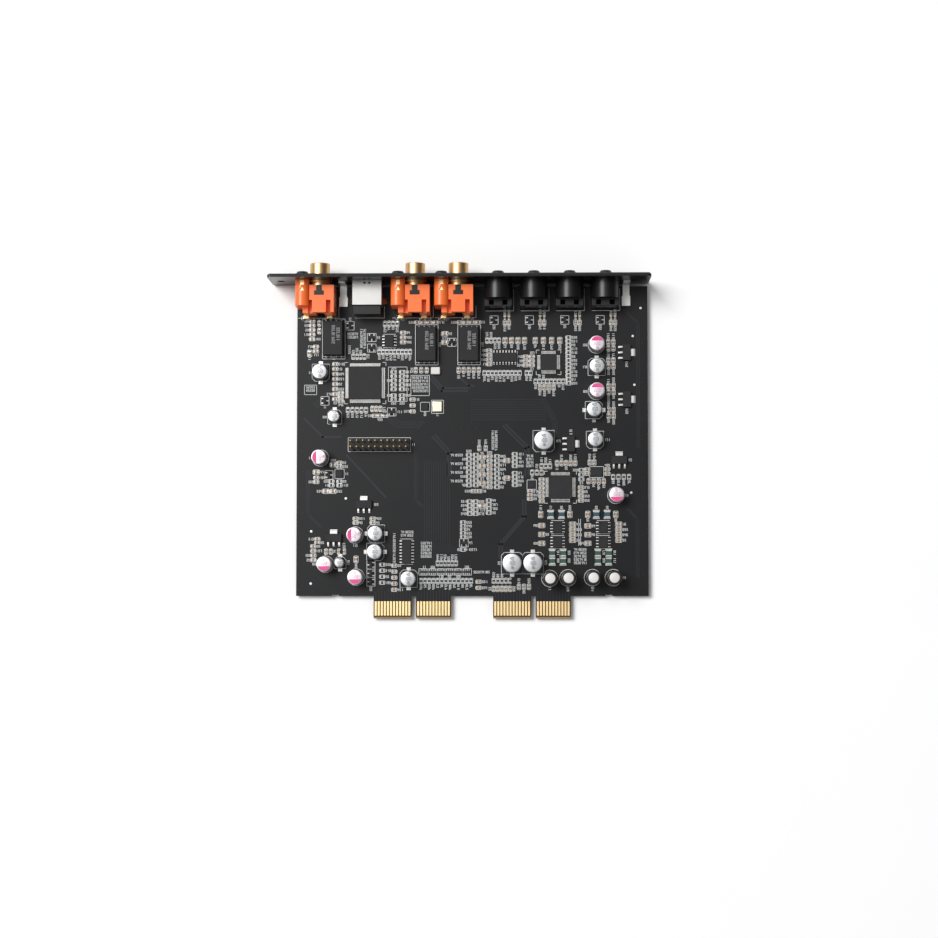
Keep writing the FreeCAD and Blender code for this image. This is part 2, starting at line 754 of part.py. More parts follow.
def make_coax_housing(x):
    front = panel_inner - coax_body_front
    rear = panel_inner - coax_body_rear
    ear_x = x - coax_ear_offset
    ear_rear = panel_inner - coax_ear_rear
    body = block(x - coax_body_left, x + coax_body_right, rear, front, top, top + coax_body_height)
    heel = block(x - coax_heel_left, x - coax_body_left, rear, front, top, top + coax_heel_height)
    ear_web = block(ear_x - coax_ear_radius, x - coax_body_left, ear_rear, panel_inner, top, screw_z)
    ear = rod_along_y(coax_ear_radius, ear_x, screw_z, ear_rear, panel_inner)
    housing = fused([body, heel, ear_web, ear])
    flange_room = coax_flange_radius + moulding_clearance
    cuts = [rod_along_y(coax_shell_radius + moulding_clearance, x, coax_z, front - coax_bore_depth, front)]
    cuts.append(rod_along_y(flange_room, x, coax_z, front, panel_inner))
    cuts.append(coax_arch(x))
    body_top = top + coax_body_height
    half_window = coax_window_width / 2
    for side in (-1, 1):
        middle = x + side * coax_window_offset
        cuts.append(block(middle - half_window, middle + half_window, rear, rear + coax_window_length,
                          body_top - coax_window_depth, body_top))
    lock_floor = body_top - coax_lock_depth
    lock_seat = [(px, py, lock_floor) for px, py in coax_lock_outline(x, moulding_clearance)]
    cuts.append(prism(lock_seat, (0, 0, coax_lock_depth)))
    cuts.append(rod_along_y(screw_shank_radius + screw_hole_clearance, ear_x, screw_z,
                            panel_outer - screw_length - screw_hole_clearance, panel_inner))
    clip_half = coax_clip_width / 2 + moulding_clearance
    clip_z = coax_clip_top()
    clip_end = panel_inner - coax_clip_length - moulding_clearance
    cuts.append(block(ear_x - clip_half, ear_x + clip_half, clip_end, panel_inner,
                      clip_z - coax_clip_thickness, clip_z))
    cuts += coax_clip_windows(ear_x)
    return cut(housing, cuts)


def make_coax_shell(x):
    """Turned shell: flange on the panel's inner face, shoulder in its hole, barrel for the plug."""
    reach = panel_outer + coax_shell_reach
    rear = panel_inner - coax_body_front - coax_bore_depth
    barrel = rod_along_y(coax_shell_radius, x, coax_z, rear, reach)
    rim = [edge for edge in barrel.Edges if edge.BoundBox.YMin > reach - 1e-6]
    barrel = barrel.makeChamfer(coax_shell_wall / 2, rim)
    flange = rod_along_y(coax_flange_radius, x, coax_z, panel_inner - coax_flange_thickness, panel_inner)
    shoulder = rod_along_y(coax_shoulder_radius, x, coax_z, panel_inner, panel_outer)
    bore = rod_along_y(coax_shell_radius - coax_shell_wall, x, coax_z, rear, reach)
    return cut(fused([barrel, flange, shoulder]), [bore])


def make_coax_insulator(x):
    front = panel_outer + coax_shell_reach - coax_insulator_recess
    rear = panel_inner - coax_body_front - coax_bore_depth
    radius = coax_shell_radius - coax_shell_wall - moulding_clearance
    bore = rod_along_y(coax_contact_radius + moulding_clearance, x, coax_z, rear, front)
    return cut(rod_along_y(radius, x, coax_z, rear, front), [bore])


def make_coax_contact(x):
    """Centre socket with a closed back and a bent tail that goes through the board."""
    front = panel_outer + coax_shell_reach - coax_insulator_recess - coax_contact_recess
    rear = panel_inner - coax_body_front - coax_bore_depth
    tail_y = panel_inner - coax_tail_setback
    socket = rod_along_y(coax_contact_radius, x, coax_z, rear, front)
    bore = rod_along_y(coax_contact_radius - coax_contact_wall, x, coax_z, rear + coax_contact_radius, front)
    back = rod_along_y(coax_tail_radius, x, coax_z, tail_y, rear)
    knee = Part.makeSphere(coax_tail_radius, vector(x, tail_y, coax_z))
    tail = rod_along_z(coax_tail_radius, x, tail_y, lead_end, coax_z)
    return fused([socket.cut(bore), back, knee, tail])


def make_coax_lock(x):
    floor = top + coax_body_height - coax_lock_depth
    outline = [(px, py, floor) for px, py in coax_lock_outline(x, 0)]
    return prism(outline, (0, 0, coax_lock_depth - coax_lock_recess))


def make_coax_clip(x):
    half = coax_clip_width / 2
    z = coax_clip_top()
    return block(x - half, x + half, panel_inner - coax_clip_length, panel_inner, z - coax_clip_thickness, z)


def make_coax_leg(x):
    """Strip that leaves the housing's back, turns down and goes through the board."""
    half = coax_leg_width / 2
    root = panel_inner - coax_body_rear
    end = root - coax_leg_reach
    z1 = top + coax_leg_height
    z0 = z1 - coax_leg_thickness
    outline = [
        (x - half, root, z1), (x - half, end, z1), (x - half, end, lead_end),
        (x - half, end + coax_leg_thickness, lead_end),
        (x - half, end + coax_leg_thickness, z0), (x - half, root, z0),
    ]
    return prism(outline, (coax_leg_width, 0, 0))


# USB socket

def usb_port_outline(y):
    half = usb_port_width / 2
    z0 = top + (usb_height - usb_port_height) / 2
    z1 = z0 + usb_port_height
    c = usb_port_chamfer
    points = [
        (-half, z0), (half, z0), (half, z1 - c), (half - c, z1), (c - half, z1), (-half, z1 - c),
    ]
    return [(usb_column + x, y, z) for x, z in points]


def make_usb_lock(side):
    """Bowed leg on the side of the shield that snaps into the board."""
    wall = usb_column + side * usb_width / 2
    bow = wall + side * usb_lock_bow
    y0 = usb_lock_row() - usb_lock_width / 2
    t = side * usb_wall
    z_mid = top + usb_lock_height / 2
    z_top = top + usb_lock_height
    foot = wall + side * usb_lock_gap
    outline = [
        (wall, y0, z_top), (bow, y0, z_mid), (foot + t, y0, top), (foot + t, y0, lead_end),
        (foot, y0, lead_end), (foot, y0, top), (bow - t, y0, z_mid), (wall, y0, z_top - usb_wall),
    ]
    return prism(outline, (0, usb_lock_width, 0))


def make_usb_shield():
    """Drawn sheet sleeve, open at both ends, with contact dimples at the panel."""
    front = panel_outer + usb_reach
    rear = panel_inner - usb_shield_rear
    half = usb_width / 2
    sleeve = block(usb_column - half, usb_column + half, rear, front, top, top + usb_height)
    inner = half - usb_wall
    roof = top + usb_height - usb_wall
    room = block(usb_column - inner, usb_column + inner, rear, front, top + usb_wall, roof)
    sleeve = fused([sleeve.cut(room), make_usb_lock(-1), make_usb_lock(1)])
    dimple_y = panel_inner - 2 * usb_dimple_radius
    dimples = []
    for side in (-1, 1):
        x = usb_column + side * usb_dimple_spacing / 2
        dimples.append(rod_along_z(usb_dimple_radius, x, dimple_y, roof, roof + usb_wall))
    return cut(sleeve, dimples)


def usb_contact_level(side):
    """Lower face of a contact lying on the tongue's upper or lower side."""
    middle = top + usb_height / 2
    if side > 0:
        return middle + usb_tongue_height / 2
    return middle - usb_tongue_height / 2 - usb_contact_thickness


def make_usb_contact(x, tail_y, side):
    half = usb_contact_width / 2
    z0 = usb_contact_level(side)
    z1 = z0 + usb_contact_thickness
    front = panel_outer - usb_tongue_recess - usb_contact_width
    y0 = tail_y - usb_contact_thickness / 2
    y1 = tail_y + usb_contact_thickness / 2
    outline = [
        (x - half, front, z0), (x - half, front, z1), (x - half, y0, z1),
        (x - half, y0, lead_end), (x - half, y1, lead_end), (x - half, y1, z0),
    ]
    return prism(outline, (usb_contact_width, 0, 0))


def make_usb_contacts():
    return [make_usb_contact(x, y, side) for x, y, side in usb_contact_tails()]


def make_usb_insulator():
    front = panel_outer + usb_reach - usb_front_recess
    rear = panel_inner - usb_shield_rear
    half = usb_width / 2 - usb_wall - moulding_clearance
    z0 = top + usb_wall + moulding_clearance
    z1 = top + usb_height - usb_wall - moulding_clearance
    core = block(usb_column - half, usb_column + half, rear, front, z0, z1)
    core = core.cut(prism(usb_port_outline(front - usb_port_depth), (0, usb_port_depth, 0)))
    half_tongue = usb_tongue_width / 2
    tongue_z = top + (usb_height - usb_tongue_height) / 2
    tongue = block(usb_column - half_tongue, usb_column + half_tongue, front - usb_port_depth,
                   panel_outer - usb_tongue_recess, tongue_z, tongue_z + usb_tongue_height)
    half_block = usb_block_width / 2
    rear_block = block(usb_column - half_block, usb_column + half_block, panel_inner - usb_block_rear, rear,
                       top, top + usb_block_height)
    return cut(fused([core, tongue, rear_block]), make_usb_contacts())


# Optical sockets

def optical_port_outline(x, y):
    half = optical_port_side / 2
    z0 = top + optical_snout_base + (optical_snout_height - optical_port_side) / 2
    z1 = z0 + optical_port_side
    c = optical_port_chamfer
    points = [(-half, z0), (half, z0), (half, z1 - c), (half - c, z1), (c - half, z1), (-half, z1 - c)]
    return [(x + px, y, z) for px, z in points]


def optical_axis():
    return top + optical_snout_base + optical_snout_height / 2


def make_optical_housing(x):
    """Moulded housing: vaulted front that takes the screw, ledge behind, port through the panel."""
    half = optical_width / 2
    vault_rear = panel_inner - optical_vault_rear
    rear = panel_inner - optical_rear
    vault_z = top + optical_height - half
    front_block = block(x - half, x + half, vault_rear, panel_inner, top, vault_z)
    vault = rod_along_y(half, x, vault_z, vault_rear, panel_inner)
    ledge = block(x - half, x + half, rear, vault_rear, top, top + optical_ledge_height)
    half_snout = optical_snout_width / 2
    snout_z = top + optical_snout_base
    snout_top = snout_z + optical_snout_height
    snout = block(x - half_snout, x + half_snout, panel_inner, panel_outer, snout_z, snout_top)
    port_end = panel_inner - optical_port_depth
    receiver_front = port_end - optical_wall
    cuts = [prism(optical_port_outline(x, port_end), (0, panel_outer - port_end, 0))]
    cuts.append(rod_along_y(screw_shank_radius + screw_hole_clearance, x, screw_z,
                            panel_outer - screw_length - screw_hole_clearance, panel_inner))
    guide_hole = optical_guide_radius + moulding_clearance
    cuts.append(rod_along_y(guide_hole, x, optical_axis(), receiver_front, port_end))
    half_room = optical_receiver_width / 2 + moulding_clearance
    room_top = top + optical_receiver_height + moulding_clearance
    cuts.append(block(x - half_room, x + half_room, rear, receiver_front, top, room_top))
    half_pocket = optical_pocket_side / 2
    pocket_rear = (rear + vault_rear) / 2 - half_pocket
    ledge_top = top + optical_ledge_height
    for side in (-1, 1):
        left = x + side * optical_pocket_offset - half_pocket
        cuts.append(block(left, left + optical_pocket_side, pocket_rear, pocket_rear + optical_pocket_side,
                          ledge_top - optical_pocket_depth, ledge_top))
    return cut(fused([front_block, vault, ledge, snout]), cuts)


def make_optical_receiver(x):
    """Receiver package behind the port, with the tube that guides the plug's fibre."""
    half = optical_receiver_width / 2
    front = panel_inner - optical_port_depth - optical_wall
    rear = panel_inner - optical_rear
    package = block(x - half, x + half, rear, front, top + moulding_clearance, top + optical_receiver_height)
    guide = rod_along_y(optical_guide_radius, x, optical_axis(), front, front + optical_guide_length)
    bore = rod_along_y(optical_guide_bore, x, optical_axis(), front, front + optical_guide_length)
    return cut(fused([package, guide]), [bore])


def make_optical_leads():
    half = optical_lead_side / 2
    y = optical_lead_row
    columns = [lead for x in optical_columns for lead in optical_lead_columns(x)]
    z1 = top + moulding_clearance
    return [block(x - half, x + half, y - half, y + half, lead_end, z1) for x in columns]


# Pin header

def make_header_pin(x, y):
    half = header_pin_side / 2
    shaft_top = top + header_pin_height - header_pin_tip
    shaft = block(x - half, x + half, y - half, y + half, lead_end, shaft_top)
    wide = [(x - half, y - half), (x + half, y - half), (x + half, y + half), (x - half, y + half)]
    narrow = [((px + x) / 2, (py + y) / 2) for px, py in wide]
    low = Part.makePolygon([vector(px, py, shaft_top) for px, py in wide + wide[:1]])
    high = Part.makePolygon([vector(px, py, shaft_top + header_pin_tip) for px, py in narrow + narrow[:1]])
    return fused([shaft, Part.makeLoft([low, high], True, True)])


def make_header_strip():
    """Strip of square cells, notched where each pair of pins can be broken off."""
    x, y = placed(*header_place)
    half_x = header_columns * header_pitch / 2
    half_y = header_rows * header_pitch / 2
    strip = block(x - half_x, x + half_x, y - half_y, y + half_y, top, top + header_strip_height)
    cuts = []
    for step in range(1, header_columns):
        notch_x = x - half_x + step * header_pitch
        for side in (-1, 1):
            edge = y + side * half_y
            outline = [(notch_x - header_notch, edge, top), (notch_x + header_notch, edge, top),
                       (notch_x, edge - side * header_notch, top)]
            cuts.append(prism(outline, (0, 0, header_strip_height)))
    half = header_pin_side / 2 + header_pin_clearance
    for px, py in header_pin_places():
        cuts.append(block(px - half, px + half, py - half, py + half, top, top + header_strip_height))
    return cut(strip, cuts)


# Capacitors

def make_can_base(size, x, y, degrees):
    """Square base with two corners cut, and a low lip round the can's foot."""
    half = size[2] / 2
    c = can_base_chamfer
    outline = [(-half, -half, 0), (half, -half, 0), (half, half - c, 0),
               (half - c, half, 0), (c - half, half, 0), (-half, half - c, 0)]
    base = prism(outline, (0, 0, can_base_height + can_base_lip))
    seat = rod_along_z(size[0] / 2, 0, 0, can_base_height, can_base_height + can_base_lip)
    return spun(cut(base, [seat]), x, y, degrees)


def make_can_tabs(size, x, y, degrees):
    """Solder tabs that reach out from under the base at two opposite sides."""
    half = can_tab_width / 2
    root = size[2] / 2
    tab = block(-half, half, root, root + can_tab_reach, 0, can_tab_thickness)
    return [spun(tab, x, y, degrees), spun(tab, x, y, degrees + 180)]


def can_rim_profile(radius, height):
    """Points of a drawn can's rounded rim and flat top, up to its axis."""
    return [(radius, height - can_rim), (radius - 0.3 * can_rim, height - 0.3 * can_rim),
            (radius - can_rim, height), (0, height)]


def make_can(size, x, y):
    """Drawn can standing in its base, with a crimped groove above the foot."""
    radius = size[0] / 2
    groove = can_base_height + can_groove_height
    half = can_groove_width / 2
    profile = [(0, can_base_height), (radius, can_base_height), (radius, groove - half),
               (radius - can_groove_depth, groove), (radius, groove + half)]
    return turned(profile + can_rim_profile(radius, size[1]), x, y, top, (0, 0, 1))


def large_can_places():
    """One large can by itself and the output stage's pair, side by side."""
    x, y = in_output_stage(*large_pair_offset)
    half = (large_can[2] + can_pair_gap) / 2
    single_x, single_y, turn = large_can_place
    return [(*placed(single_x, single_y), turn), (x - half, y, 0), (x + half, y, 0)]


def surface_cans():
    """Size, place and turn of every surface-mounted can."""
    cans = []
    groups = ((small_can, small_can_places), (low_can, low_can_places), (silver_can, silver_can_places))
    for size, places in groups:
        cans += [(size, *placed(x, y), degrees) for x, y, degrees in places]
    y = transformer_front(0) - transformer_can_gap - silver_can[2] / 2
    cans.append((silver_can, along(transformer_can_column), y, 180))
    return cans + [(large_can, *place) for place in large_can_places()]


def make_polymer_can(x, y):
    """Drawn can of a polymer capacitor, necked in over the seal at its foot."""
    radius = polymer_diameter / 2
    neck = radius - can_groove_depth
    profile = [(0, 0), (neck, 0), (neck, polymer_seal), (radius, polymer_seal + can_groove_depth)]
    return turned(profile + can_rim_profile(radius, polymer_height), x, y, top, (0, 0, 1))


def make_sleeved_can(x, y):
    """Sleeved capacitor, its sleeve shrunk over the rim round a bare, dished top."""
    radius = sleeve_diameter / 2
    height = sleeve_height
    dish = height - sleeve_dish
    profile = [(0, 0), (radius, 0), (radius, dish), (radius - sleeve_dish, height),
               (radius - sleeve_lip, height), (radius - sleeve_lip, dish), (0, dish)]
    return turned(profile, x, y, top, (0, 0, 1))


def make_upright_lead(x, y):
    return rod_along_z(upright_lead_radius, x, y, lead_end, top)


# Chips

def make_chip_body(size):
    """Moulded body whose sides slope to the parting line at mid-height."""
    length, width, height = size
    half = width / 2
    middle = height / 2
    profile = [(-half + chip_draft, 0), (half - chip_draft, 0), (half, middle), (half - chip_draft, height),
               (chip_draft - half, height), (-half, middle)]
    return prism([(-length / 2, y, z) for y, z in profile], (length, 0, 0))


def make_quad_body(size):
    """Moulded square body, sloped on all four sides."""
    length, width, height = size
    levels = []
    for z, inset in ((0, chip_draft), (height / 2, 0), (height, chip_draft)):
        x = length / 2 - inset
        y = width / 2 - inset
        corners = [(-x, -y), (x, -y), (x, y), (-x, y), (-x, -y)]
        levels.append(Part.makePolygon([vector(px, py, z) for px, py in corners]))
    return Part.makeLoft(levels, True, True)


def make_lead(x, root, middle, reach, width):
    """Bent lead from a body's side at mid-height down to a foot on the board."""
    end = root + reach
    knee = end - lead_foot
    t = lead_thickness
    outline = [(root, middle + t / 2), (knee, middle + t / 2), (knee + t, t), (end, t), (end, 0), (knee, 0),
               (knee - t, middle - t / 2), (root, middle - t / 2)]
    return prism([(x - width / 2, y, z) for y, z in outline], (width, 0, 0))


def lead_rows(size, count, pitch, reach, width):
    """Leads along both long sides of a chip."""
    leads = []
    for step in range(count):
        x = (step - (count - 1) / 2) * pitch
        lead = make_lead(x, size[1] / 2, size[2] / 2, reach, width)
        leads.append(lead)
        leads.append(lead.rotated(vector(0, 0, 0), vector(0, 0, 1), 180))
    return leads


def sixteen_pin_chips():
    return [(placed(x, y), degrees) for x, y, degrees in sixteen_pin_places]


def eight_pin_chips():
    amplifiers = [in_output_stage(dx, dy) for dx in amplifier_columns for dy in amplifier_rows]
    return [(place, 90) for place in [placed(*eight_pin_place)] + amplifiers]


def make_chip_leads(chips, size):
    count = round(size[0] / lead_pitch)
    rows = lead_rows(size, count, lead_pitch, lead_reach, lead_width)
    return [spun(lead, x, y, degrees) for (x, y), degrees in chips for lead in rows]


def make_chip_bodies(chips, size):
    return [spun(make_chip_body(size), x, y, degrees) for (x, y), degrees in chips]


def regulators():
    return [(placed(x, y), degrees + 90) for x, y, degrees in regulator_places]


def make_regulator_leads():
    """Three leads on one side and the wide tab on the other."""
    size = (regulator_length, regulator_width, regulator_height)
    leads = []
    for (x, y), degrees in regulators():
        tab = make_lead(0, size[1] / 2, size[2] / 2, regulator_lead_reach, regulator_tab_width)
        leads.append(spun(tab.rotated(vector(0, 0, 0), vector(0, 0, 1), 180), x, y, degrees))
        for step in (-1, 0, 1):
            lead = make_lead(step * regulator_lead_pitch, size[1] / 2, size[2] / 2, regulator_lead_reach,
                             regulator_lead_width)
            leads.append(spun(lead, x, y, degrees))
    return leads


def transistors():
    """Transistors of the layout and one before each optical socket."""
    places = [(placed(x, y), degrees) for x, y, degrees in transistor_places]
    y = panel_inner - optical_transistor_setback
    return places + [((x + optical_transistor_offset, y), 90) for x in optical_columns]


def make_transistor_leads():
    half = transistor_lead_pitch / 2
    leads = []
    for (x, y), degrees in transistors():
        for column, turn in ((-half, 0), (half, 0), (0, 180)):
            lead = make_lead(column, transistor[1] / 2, transistor[2] / 2, transistor_lead_reach, lead_width)
            leads.append(spun(lead.rotated(vector(0, 0, 0), vector(0, 0, 1), turn), x, y, degrees))
    return leads


# Transformers, oscillator and film capacitors

def transformer_middles():
    """Transformers lined up behind the coaxial jacks, clear of their legs."""
    middle = transformer_rear - transformer_length / 2
    return [(along(x), middle - behind) for x, behind in transformer_places]


def transformer_front(number):
    """Y where the front leads of a transformer end."""
    y = transformer_middles()[number][1]
    return y - transformer_length / 2 - transformer_lead_reach


def make_transformer(x, y):
    """Moulded block with its upper edges cut off along the long sides."""
    half = transformer_width / 2
    c = transformer_chamfer
    y0 = y - transformer_length / 2
    profile = [(-half, 0), (half, 0), (half, transformer_height - c), (half - c, transformer_height),
               (c - half, transformer_height), (-half, transformer_height - c)]
    return prism([(x + px, y0, top + z) for px, z in profile], (0, transformer_length, 0))


def make_transformer_leads(x, y):
    """Short feet at both ends of a transformer."""
    pitch = transformer_width / transformer_leads
    ends = (y - transformer_length / 2 - transformer_lead_reach, y + transformer_length / 2)
    leads = []
    for step in range(transformer_leads):
        left = x + (step - (transformer_leads - 1) / 2) * pitch - lead_width / 2
        for end in ends:
            leads.append(block(left, left + lead_width, end, end + transformer_lead_reach,
                               top, top + lead_thickness))
    return leads


def make_oscillator():
    """Flat base with a metal lid set in from its edges."""
    x, y = placed(*oscillator_place)
    half_x = oscillator_width / 2
    half_y = oscillator_length / 2
    lid_z = top + oscillator_base_height
    base = block(x - half_x, x + half_x, y - half_y, y + half_y, top, lid_z)
    half_x -= oscillator_lid_inset
    half_y -= oscillator_lid_inset
    lid = block(x - half_x, x + half_x, y - half_y, y + half_y, lid_z, top + oscillator_height)
    return fused([base, lid])


def make_small_chip(size, x, y, axis):
    half_x = size[0] / 2
    half_y = size[1] / 2
    if axis == "y":
        half_x, half_y = half_y, half_x
    return block(x - half_x, x + half_x, y - half_y, y + half_y, top, top + size[2])


def make_chip_fields(size, fields, place=placed):
    """Small chips set out in rows and columns, at the places that the layout gives them."""
    chips = []
    for (x, y), (across, along_y), (columns, rows), axis in fields:
        for column in range(columns):
            for row in range(rows):
                middle = place(x + column * across, y + row * along_y)
                chips.append(make_small_chip(size, *middle, axis))
    return chips


def make_transformer_chips():
    """Rows of chips that keep their distance from the transformers' front leads."""
    chips = []
    for number, (x, step, count) in enumerate(transformer_chip_rows, start=1):
        y = transformer_front(number) - transformer_chip_gap - small_chip[0] / 2
        chips += [make_small_chip(small_chip, along(x + i * step), y, "y") for i in range(count)]
    return chips


def make_optical_chips():
    """Chips that keep their distance from the optical sockets and the panel."""
    return [make_small_chip(small_chip, x + offset, panel_inner - setback, "y")
            for x in optical_columns for offset in optical_chip_offsets for setback in optical_chip_setbacks]


def film_pair_places():
    """Film capacitors stand in pairs: one pair behind each amplifier column, two in front of it."""
    second_row = film_front_row - film_length - film_row_gap
    places = []
    for column in amplifier_columns:
        places.append(in_output_stage(column + film_rear_shift, film_rear_row))
        places += [in_output_stage(column, row) for row in (film_front_row, second_row)]
    return places


def make_film_capacitors():
    half = film_length / 2
    chips = []
    for x, y in film_pair_places():
        for side in (-1, 1):
            left = x + side * (film_width + film_gap) / 2 - film_width / 2
            chips.append(block(left, left + film_width, y - half, y + half, top, top + film_height))
    return chips


def main():
    os.makedirs("parts", exist_ok=True)
    save("main_board", [make_board()])
    save("edge_contacts_upper", make_edge_contacts(top, top + contact_thickness))
    save("edge_contacts_lower", make_edge_contacts(underside - contact_thickness, underside))
    save("rear_panel", [make_panel()])
    save("panel_screws", [make_screw(x) for x in screw_columns])
    save("ground_bracket_left", [make_bracket(left_bracket_column())])
    save("ground_bracket_right", [make_bracket(along(right_bracket_place))])

    for number, x in enumerate(coax_columns, 1):
        save("coax_housing_%d" % number, [make_coax_housing(x)])
        save("coax_shell_%d" % number, [make_coax_shell(x)])
        save("coax_insulator_%d" % number, [make_coax_insulator(x)])
        save("coax_contact_%d" % number, [make_coax_contact(x)])
        save("coax_lock_%d" % number, [make_coax_lock(x)])
    save("coax_screw_clips", [make_coax_clip(x - coax_ear_offset) for x in coax_columns])
    save("coax_ground_legs", [make_coax_leg(leg) for x in coax_columns for leg in coax_leg_columns(x)])

    save("usb_shield", [make_usb_shield()])
    save("usb_insulator", [make_usb_insulator()])
    save("usb_contacts", make_usb_contacts())

    for number, x in enumerate(optical_columns, 1):
        save("optical_housing_%d" % number, [make_optical_housing(x)])
        save("optical_receiver_%d" % number, [make_optical_receiver(x)])
    save("optical_leads", make_optical_leads())

    save("header_strip", [make_header_strip()])
    save("header_pins", [make_header_pin(x, y) for x, y in header_pin_places()])

    save("capacitor_bases", [make_can_base(*can) for can in surface_cans()])
    save("capacitor_tabs", [tab for can in surface_cans() for tab in make_can_tabs(*can)])
    save("silver_capacitors", [make_can(size, x, y) for size, x, y, degrees in surface_cans()])
    save("polymer_capacitors", [make_polymer_can(x, y) for x, y in polymer_places()])
    save("sleeved_capacitors", [make_sleeved_can(x, y) for x, y in sleeve_places()])
    save("capacitor_leads", [make_upright_lead(x, y) for x, y in upright_lead_places()])

    save("processor_chip", [spun(make_quad_body(large_quad), *placed(*large_quad_place), 0)])
    save("converter_chip", [spun(make_quad_body(medium_quad), *placed(*medium_quad_place), 0)])
    save("interface_chip", [spun(make_quad_body(small_quad), *placed(*small_quad_place), 0)])
    save("sixteen_pin_chips", make_chip_bodies(sixteen_pin_chips(), sixteen_pin))
    save("eight_pin_chips", make_chip_bodies(eight_pin_chips(), eight_pin))
    chip_leads = make_chip_leads(sixteen_pin_chips(), sixteen_pin)
    save("chip_leads", chip_leads + make_chip_leads(eight_pin_chips(), eight_pin))
    leadless_bodies = [
        spun(make_quad_body(leadless), *placed(*leadless_place), 0),
        spun(make_quad_body(six_pin), *placed(*six_pin_place), 0),
    ]
    for x, y in small_leadless_places:
        leadless_bodies.append(spun(make_quad_body(small_leadless), *placed(x, y), 0))
    save("leadless_chips", leadless_bodies)
    regulator_bodies = make_chip_bodies(regulators(), (regulator_length, regulator_width, regulator_height))
    save("regulators", regulator_bodies + make_chip_bodies(transistors(), transistor))
    save("regulator_leads", make_regulator_leads() + make_transistor_leads())

    transformers = transformer_middles()
    save("pulse_transformers", [make_transformer(x, y) for x, y in transformers])
    save("transformer_leads", [lead for x, y in transformers for lead in make_transformer_leads(x, y)])
    save("clock_oscillator", [make_oscillator()])
    save("chip_resistors", make_chip_fields(small_chip, chip_resistor_fields))
    chip_capacitors = make_chip_fields(small_chip, chip_capacitor_fields)
    chip_capacitors += make_chip_fields(large_chip, large_chip_fields)
    chip_capacitors += make_chip_fields(large_chip, output_chip_fields, in_output_stage)
    save("chip_capacitors", chip_capacitors + make_transformer_chips() + make_optical_chips())
    save("resistor_arrays", make_chip_fields(resistor_array, resistor_array_fields))
    save("film_capacitors", make_film_capacitors())


main()
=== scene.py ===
# %% [markdown]
# # Dressing a plug-in audio card
# The solids of the card come from its CAD frame. Here they get rounded edges, finishes, solder,
# small leads and the white printing that a real circuit board carries.
# The first cell loads the frame and keeps its box, because nothing added later may reach past it.

# %% Bring in the card
import math
import bpy
import bmesh
from mathutils import Matrix, Vector


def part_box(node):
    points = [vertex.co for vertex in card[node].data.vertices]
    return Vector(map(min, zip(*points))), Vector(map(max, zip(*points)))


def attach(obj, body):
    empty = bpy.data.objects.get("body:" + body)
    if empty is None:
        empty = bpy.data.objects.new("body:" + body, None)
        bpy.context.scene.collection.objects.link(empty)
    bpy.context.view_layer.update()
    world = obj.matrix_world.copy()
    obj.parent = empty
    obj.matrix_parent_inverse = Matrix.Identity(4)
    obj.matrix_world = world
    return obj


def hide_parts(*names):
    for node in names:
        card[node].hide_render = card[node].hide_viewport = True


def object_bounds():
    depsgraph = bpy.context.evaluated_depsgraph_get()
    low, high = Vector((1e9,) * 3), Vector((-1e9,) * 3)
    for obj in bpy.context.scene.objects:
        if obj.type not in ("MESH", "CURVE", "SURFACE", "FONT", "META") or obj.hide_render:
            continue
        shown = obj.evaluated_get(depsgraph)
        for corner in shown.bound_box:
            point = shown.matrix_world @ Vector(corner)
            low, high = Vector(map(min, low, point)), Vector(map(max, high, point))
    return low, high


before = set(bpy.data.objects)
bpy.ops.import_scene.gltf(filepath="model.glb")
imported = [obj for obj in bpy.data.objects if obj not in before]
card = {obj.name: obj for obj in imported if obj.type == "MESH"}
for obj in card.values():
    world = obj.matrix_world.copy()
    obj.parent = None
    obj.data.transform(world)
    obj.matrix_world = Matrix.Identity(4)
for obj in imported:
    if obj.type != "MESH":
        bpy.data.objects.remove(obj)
cad_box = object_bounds()
mm = 0.001
print("nodes on the card:", len(card))

# %% [markdown]
# ## The camera
# The photograph looks almost straight down on the card from under a metre, a little from the front
# right. A long lens at that distance keeps the tall sockets from leaning outwards too much.
# Building the turn from three directions keeps the picture free of roll.

# %% Camera
camera_place = Vector((19.4, 7.0, 828.7)) * mm
camera_aim = Vector((-1.26, 52.72, 0.8)) * mm
camera_lens = 76.54
camera_sensor = 36.0
forward = (camera_aim - camera_place).normalized()
sideways = forward.cross(Vector((0, 1, 0))).normalized()
upwards = sideways.cross(forward)
camera_data = bpy.data.cameras.new("photo_camera")
camera_data.lens = camera_lens
camera_data.sensor_width = camera_sensor
camera = bpy.data.objects.new("photo_camera", camera_data)
turn = Matrix((sideways, upwards, -forward)).transposed().to_4x4()
camera.matrix_world = Matrix.Translation(camera_place) @ turn
bpy.context.scene.collection.objects.link(camera)
bpy.context.scene.camera = camera
bpy.context.scene.view_settings.view_transform = "Standard"
print("camera height in mm:", round(camera_place.z / mm))

# %% [markdown]
# ## Writing shaders as sums
# A material is a small net of nodes. Wrapping a socket in a class lets the net be written as
# arithmetic: every sign between two sockets adds one Math node. One more method adds any other
# node: its settings are made first, then its sockets are given values or links.

